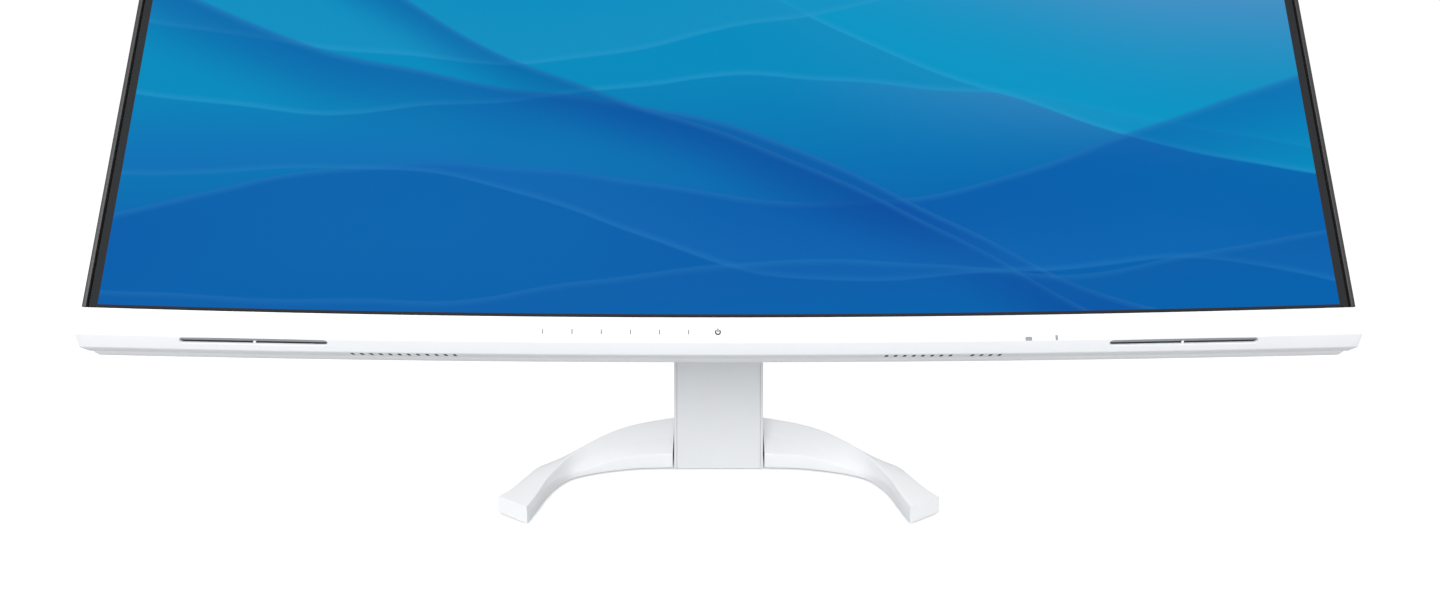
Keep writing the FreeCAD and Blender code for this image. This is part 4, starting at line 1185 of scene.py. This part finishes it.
@dataclass
class Back:
    """The display's back: one soft shell with a hump, an arm recess, vents and a socket bay."""

    half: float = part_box("rear_cover")[1][0]
    low: float = -29.7 * MM
    high: float = 378.0 * MM
    rim: float = 20.3 * MM
    slab: float = 30.0 * MM
    hump: float = 58.5 * MM
    root: float = 16.0 * MM
    taper: float = 24.0 * MM
    hump_half: float = 230.0 * MM
    hump_low: float = 6.0 * MM
    hump_high: float = 262.0 * MM
    wall: float = 2.5 * MM
    roll: float = 2.2 * MM
    foot_roll: float = 0.7 * MM
    front_low: float = -28.1 * MM
    crease: float = 26.0
    recess_half: float = 58 * MM
    vents: int = 24
    vent_first: float = -165.5 * MM
    vent_pitch: float = 14 * MM
    vent_wide: float = 9 * MM
    bay: tuple = ((-205 * MM, -60 * MM), (28 * MM, 50 * MM), (-4 * MM, 32.5 * MM))
    holes: tuple = ((150 * MM, 14.3 * MM, 8.3 * MM), (112 * MM, 5.8 * MM, 9 * MM))

    def depth(self, x: Array, w: Array) -> Array:
        """Return how far back the shell's outside lies behind the middle of the screen.

        The slab follows the arc, its rim rolls over a quarter circle, and the hump is a capped
        pyramid; the two are joined by a smooth maximum.

        Args:
            x: distances to the right of the middle.
            w: heights over the line where the screen meets the chin.
        Returns:
            The depths.
        """
        edge = np.minimum(self.half - np.abs(x), self.high - w)
        b = self.slab
        for size, inside in ((self.roll, edge), (self.foot_roll, w - self.low)):
            part = np.clip(inside / size, 0, 1)
            b = b - size * (1 - np.sqrt(1 - (1 - part) ** 2))
        r = ARC.radius + b
        slab = b - (r - np.sqrt(r * r - x * x))
        sides = [self.hump_half - np.abs(x), self.hump_high - w, w - self.hump_low]
        soft = 5 * MM
        near = -soft * np.log(sum(np.exp(-np.clip(s, -0.2, 0.4) / soft) for s in sides))
        rise = self.root + near * (self.hump - self.root) / self.taper
        top = 3 * MM
        rise = -top * np.log(np.exp(-np.clip(rise, -0.3, 0.5) / top) + np.exp(-self.hump / top))
        k = 2.5 * MM
        biggest = np.maximum(slab, rise)
        blend = biggest + k * np.log(np.exp((slab - biggest) / k) + np.exp((rise - biggest) / k))
        return np.where((edge < self.roll) | (w - self.low < self.foot_roll), slab, blend)

    def build(self) -> None:
        """Make the shell as a height field over the outline, with a wall, then cut its openings."""
        rim = self.roll * (1 - np.cos(np.linspace(0, math.pi / 2, 6)))
        span_x = np.linspace(self.roll - self.half, self.half - self.roll, 190)
        span_w = np.linspace(self.low + self.foot_roll, self.high - self.roll, 110)
        x = np.concatenate([-self.half + rim[:-1], span_x, (self.half - rim[:-1])[::-1]])
        foot = self.low + rim[:-1] * self.foot_roll / self.roll
        w = np.concatenate([foot, span_w, (self.high - rim[:-1])[::-1]])
        gx, gw = np.meshgrid(np.pad(x, 1, "edge"), np.pad(w, 1, "edge"), indexing="ij")
        outer_y = self.depth(gx, gw)
        edge = np.ones(gx.shape, bool)
        edge[1:-1, 1:-1] = False
        r = ARC.radius + self.rim
        outer_y = np.where(edge, self.rim - (r - np.sqrt(r * r - gx * gx)), outer_y)
        gw[:, 0] = self.front_low
        gw[[0, -1]] = np.maximum(gw[[0, -1]], self.front_low)
        inner_x = gx * (self.half - self.wall) / self.half
        mid = (self.low + self.high) / 2
        inner_w = mid + (gw - mid) * (self.high - mid - self.wall) / (self.high - mid)
        place = lambda px, py, pw: LEAN.apply(np.stack([px, py - ARC.behind, pw - ARC.over], -1))
        outer = place(gx, outer_y, gw)
        inner = place(inner_x, np.where(edge, outer_y, outer_y - self.wall), inner_w)
        count = gx.size
        faces = lattice(outer, False) + lattice(inner, False, count)
        index = np.arange(count).reshape(gx.shape)
        loop = np.concatenate([index[:-1, 0], index[-1, :-1], index[:0:-1, -1], index[0, :0:-1]])
        nxt = np.roll(loop, -1)
        faces += np.stack([loop, nxt, nxt + count, loop + count], -1).tolist()
        both = np.concatenate([outer.reshape(-1, 3), inner.reshape(-1, 3)])
        piece = finish_mesh("rear_shell", both, faces, self.crease)
        self.openings(piece)
        dress(piece, "white_plastic", "display", ["rear_cover"])

    def openings(self, piece: Piece) -> None:
        """Cut the recess, vents, socket bay, mains inlet and switch.

        Args:
            piece: the shell.
        """
        def bar(x: tuple, y: tuple, w: tuple, soft: float) -> Array:
            """Return a round-cornered bar along Y."""
            across, high = oblong(*x, *w, soft, 5).T
            rings = [np.stack([across, np.full(len(across), deep), high - ARC.over], -1)
                     for deep in y]
            return LEAN.apply(np.stack(rings) - [0, ARC.behind, 0])

        mid, half = ARC.over, self.recess_half
        cutters = [bar((-half, half), (30 * MM, 62 * MM), (mid - half, mid + half), 5 * MM)]
        for start in self.vent_first + self.vent_pitch * np.arange(self.vents):
            across = (start, start + self.vent_wide)
            cutters.append(bar(across, (50 * MM, 62 * MM), (226 * MM, 230 * MM), 1.9 * MM))
        cutters.append(bar(*self.bay, 1.5 * MM))
        carve(piece, cutters, self.crease)
        slope = math.atan2(self.taper, self.hump - self.root)
        middle = 39 * MM
        rise = self.hump_low + (middle - self.root) * self.taper / (self.hump - self.root)
        c, s = math.cos(slope), math.sin(slope)
        holes = []
        for at, half_x, half_y in self.holes:
            x, y = oblong(-half_x, half_x, -half_y, half_y, 1 * MM, 5).T
            rings = [np.stack([at + x, middle - ARC.behind + y * c - z * s,
                               rise - ARC.over + y * s + z * c], -1) for z in (-6 * MM, 8 * MM)]
            holes.append(LEAN.apply(np.stack(rings)))
        carve(piece, holes, self.crease)


# ------------------------------------------------------------------ the stand
@dataclass
class Foot:
    """The two-legged foot, carried through upright sections from one tip to the other.

    Each section holds: place of its front edge as shares of the half width and the reach, the
    angle of its cut, the height of its front rim, its ridge's distance and height, its depth and
    the height of its back.
    """

    half: float = 179.8 * MM
    reach: float = 136.6 * MM
    front: float = -25 * MM
    lift: float = 2 * MM
    sections: tuple = (
        (0.837, 1.000, 41.5, 7.5, 0.8, 13.3, 38.2, 13.1),
        (0.820, 0.786, 27.0, 8.0, 0.8, 13.7, 29.0, 12.8),
        (0.798, 0.509, 27.0, 8.5, 1.6, 15.3, 26.6, 11.2),
        (0.745, 0.269, 28.0, 5.0, 3.0, 18.4, 32.7, 7.6),
        (0.665, 0.157, 35.0, 4.6, 10.6, 21.5, 36.8, 6.8),
        (0.559, 0.080, 37.0, 8.4, 20.0, 24.8, 46.0, 6.8),
        (0.412, 0.018, 58.6, 11.7, 30.5, 31.0, 63.4, 7.4),
        (0.238, 0.000, 90.0, 12.8, 38.9, 36.3, 104.0, 8.2),
    )
    steps: int = 9
    clear: float = 1.4 * MM
    crease: float = 24.0

    def smoothed(self) -> Array:
        """Return closely spaced sections on Catmull-Rom curves through the given ones."""
        rows = np.array(self.sections)
        p = np.concatenate([rows[:1], rows, rows[-1:]])
        t = np.linspace(0, 1, self.steps, endpoint=False)[None, :, None]
        a, b, c, d = (p[i:len(p) - 3 + i, None, :] for i in range(4))
        bend = 2 * a - 5 * b + 4 * c - d + t * (3 * b - 3 * c + d - a)
        curve = b + 0.5 * t * (c - a + t * bend)
        return np.concatenate([curve.reshape(-1, 8), rows[-1:]])

    def rings(self) -> Array:
        """Return the right leg's sections as world points, from the tip to the hub."""
        along, reach, angle, rim, ridge_at, ridge, deep, back = self.smoothed().T
        rim, ridge_at, ridge, deep, back = (v * MM for v in (rim, ridge_at, ridge, deep, back))
        zero = np.zeros_like(rim)
        across = np.stack([zero, zero, ridge_at * 0.55, ridge_at, deep, deep], -1)
        up = np.stack([zero, rim, rim + (ridge - rim) * 0.4, ridge, back, zero], -1)
        soft = np.array([0.5, 1.1, 2.5, 1.6, 1.6, 0.5]) * MM
        outline = rounded_stack(np.stack([across, up], -1), soft, 5)
        turn = np.radians(angle)[:, None]
        x = self.half * along[:, None] + outline[..., 0] * np.cos(turn)
        y = self.front - self.reach * reach[:, None] + outline[..., 0] * np.sin(turn)
        return np.stack([x, y, outline[..., 1] + self.lift], -1)

    def build(self) -> None:
        """Make the foot in one sweep, roll its tips over and cut the column's pocket."""
        leg = self.rings()
        middle = leg[0].mean(0)
        tips = [middle + (leg[0] - middle) * share for share in (0.955, 0.985)]
        rolled = [tips[0], tips[1] * 0.7 + leg[0] * 0.3, leg[0] * 0.9 + leg[1] * 0.1]
        leg = np.concatenate([rolled, leg[1:]])
        other = leg[::-1] * np.array([-1.0, 1, 1])
        piece = sweep("foot_body", np.concatenate([leg, other]), self.crease)
        low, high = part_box("column_shell")
        x0, x1 = low[0] - self.clear, high[0] + self.clear
        front, back = low[1] - 5 * MM, high[1] + self.clear
        outline = np.array([(x0, front), (x1, front), (x1, back), (x0, back)])
        carve(piece, [lifted([outline] * 2, (-1 * MM, 60 * MM))], self.crease)
        dress(piece, "white_metal", "stand", ["foot"])


@dataclass
class Column:
    """The column: a channel, a front panel with its long slot, and a cap."""

    low: Array = field(default_factory=lambda: np.array(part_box("column_shell")[0]))
    high: Array = field(default_factory=lambda: np.array(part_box("column_shell")[1]))
    wall: float = 2.5 * MM
    slot_half: float = 14 * MM

    def build(self) -> None:
        """Make the three visible pieces."""
        x0, y0, z0 = self.low
        x1, y1, z1 = self.high
        t = self.wall
        corners = [(x0, y0), (x0, y1), (x1, y1), (x1, y0),
                   (x1 - t, y0), (x1 - t, y1 - t), (x0 + t, y1 - t), (x0 + t, y0)]
        outline = rounded(corners, np.array([0.7, 4, 4, 0.7, 0.4, 2, 2, 0.4]) * MM, 7)
        skin = prism("column_skin", outline, z0, z1, lambda p: p, 0.3 * MM)
        dress(skin, "column_paint", "stand", ["column_shell"])
        self.panel()
        dress(softened("column_cap", 0.6 * MM), "white_plastic", "stand", ["column_cap"])

    def panel(self) -> None:
        """Make the front panel: a plate with rolled edges and a slot that is open at the top."""
        low, high = (np.array(v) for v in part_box("column_panel"))
        slot_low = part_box("neck")[0][2] + JOINTS["lift"]["range_m"][0] - 4 * MM + 18 * MM
        s = self.slot_half
        (x0, _, z0), (x1, _, z1) = low, high
        corners = [(x0, z0), (x1, z0), (x1, z1), (s, z1),
                   (s, slot_low), (-s, slot_low), (-s, z1), (x0, z1)]
        outline = rounded(corners, 0.8 * MM, 5)
        face = lambda p: np.stack([p[..., 0], p[..., 2], p[..., 1]], -1)
        plate = prism("column_front", outline, low[1], high[1], face, 0.45 * MM)
        dress(plate, "column_paint", "stand", ["column_panel"])


SOFT_NODES = {
    "riser": 0.5, "riser_cap": 0.7, "neck": 1.0, "swivel_head": 1.0, "tilt_arm": 0.8,
    "tilt_nuts": 0.4, "tilt_pin": 0.3, "mount_bolts": 0.3, "mains_inlet": 0.4,
    "rocker_switch": 0.6, "column_guides": 0.4, "riser_guides": 0.4, "foot_pads": 0.5,
    "hub_pad": 0.4, "swivel_pin": 0.4, "display_socket": 0.2, "hdmi_sockets": 0.2,
    "usb_c_socket": 0.15, "usb_sockets": 0.2, "lan_socket": 0.2, "audio_socket": 0.2,
    "column_block": 0.4, "speaker_case_left": 0.5, "speaker_case_right": 0.5,
}


def dress_nodes() -> None:
    """Roll the edges of the made parts that show, and give every node that stays its finish."""
    for node, width in SOFT_NODES.items():
        dress(softened(node, width * MM), NODE_SLOT[node], NODE_BODY[node], [node])
    for node, part in frame["nodes"].items():
        slot_name = NODE_SLOT[node]
        if slot_name == "screen":
            slot_name = "dark_plastic"
        part.data.materials.clear()
        part.data.materials.append(material_for(slot_name))


# ------------------------------------------------------------------ studio
@dataclass
class Studio:
    """A pale floor, a white surround, soft lights and the camera."""

    camera_at: tuple[float, float, float] = (0.0, -0.935, 0.29936)
    pitch: float = 2.5
    lens: float = 24.98
    shift: tuple[float, float] = (0.00097, -0.0773)
    surround: float = 0.74
    backdrop: float = 1.04

    def build(self) -> None:
        """Set the studio up."""
        scene = bpy.context.scene
        scene.view_settings.view_transform = "Standard"
        data = bpy.data.cameras.new("camera")
        data.lens, data.sensor_width = self.lens, 36.0
        data.shift_x, data.shift_y = self.shift
        data.clip_start = 0.01
        camera = linked("camera", data)
        camera.location = self.camera_at
        camera.rotation_euler = (math.radians(90 - self.pitch), 0, 0)
        scene.camera = camera
        self.floor()
        world = bpy.data.worlds.new("surround")
        world.use_nodes = True
        tree = world.node_tree
        path = Wire(tree, tree.nodes.new("ShaderNodeLightPath").outputs["Is Camera Ray"])
        glow = path * (self.backdrop - self.surround) + self.surround
        tree.links.new(glow.socket, tree.nodes["Background"].inputs[1])
        tree.nodes["Background"].inputs[0].default_value = (1, 1, 1, 1)
        scene.world = world
        self.light("key", (-0.3, -2.0, 1.08), (0.0, -0.1, 0.05), 1.1, 29.0)
        self.light("fill", (1.3, -0.9, 0.9), (0.0, 0.0, 0.2), 1.2, 1.2)
        self.light("back", (0.0, 1.4, 1.3), (0.0, 0.0, 0.3), 1.4, 1.5)

    def floor(self) -> None:
        """Make the floor: a very large disc with an even, pale, matt finish."""
        rings = np.array([0.0, 0.5, 1, 2, 4, 8, 16, 40])[:, None]
        turn = np.linspace(0, 2 * math.pi, 48, endpoint=False)[None]
        points = np.stack([rings * np.cos(turn), rings * np.sin(turn), np.zeros((8, 48))], -1)
        faces = lattice(points[1:], True, 48) + [list(range(48, 96))]
        piece = finish_mesh("floor", points, faces)
        r = Recipe("floor_paint", Roughness=0.9, Specular_IOR_Level=0.0)
        seen = r.wire(r.node("LightPath"), "Is Camera Ray")
        pale = r.mix(r.noise(0.4, 2), (0.955, 0.955, 0.955, 1), (0.97, 0.97, 0.97, 1))
        r.feed("Base Color", r.mix(seen, (0.60, 0.61, 0.62, 1), pale))
        r.feed("Emission Color", r.mix(seen, (0, 0, 0, 1), (0.34, 0.34, 0.34, 1)))
        r.shader.inputs["Emission Strength"].default_value = 1.0
        piece.data.materials.append(r.material)

    def light(self, name: str, at: tuple, aim: tuple, size: float, power: float) -> None:
        """Add one soft square light aimed at a point.

        Args:
            name: the lamp's name.
            at: where it is.
            aim: where it points.
            size: its side.
            power: in watts.
        """
        data = bpy.data.lights.new(name, "AREA")
        data.shape, data.size, data.energy = "SQUARE", size, power
        lamp = linked(name, data)
        lamp.location = at
        direction = np.array(aim) - np.array(at)
        flat = math.hypot(direction[0], direction[1])
        heading = math.atan2(direction[1], direction[0]) - math.pi / 2
        lamp.rotation_euler = (math.atan2(flat, -direction[2]), 0, heading)


def main() -> None:
    """Build the studio and every sub-assembly, in order."""
    for part in (Studio(), Front(), Back(), Foot(), Column()):
        LOG.info("building the %s", type(part).__name__.lower())
        part.build()
    dress_nodes()


if __name__ == "__main__":
    main()
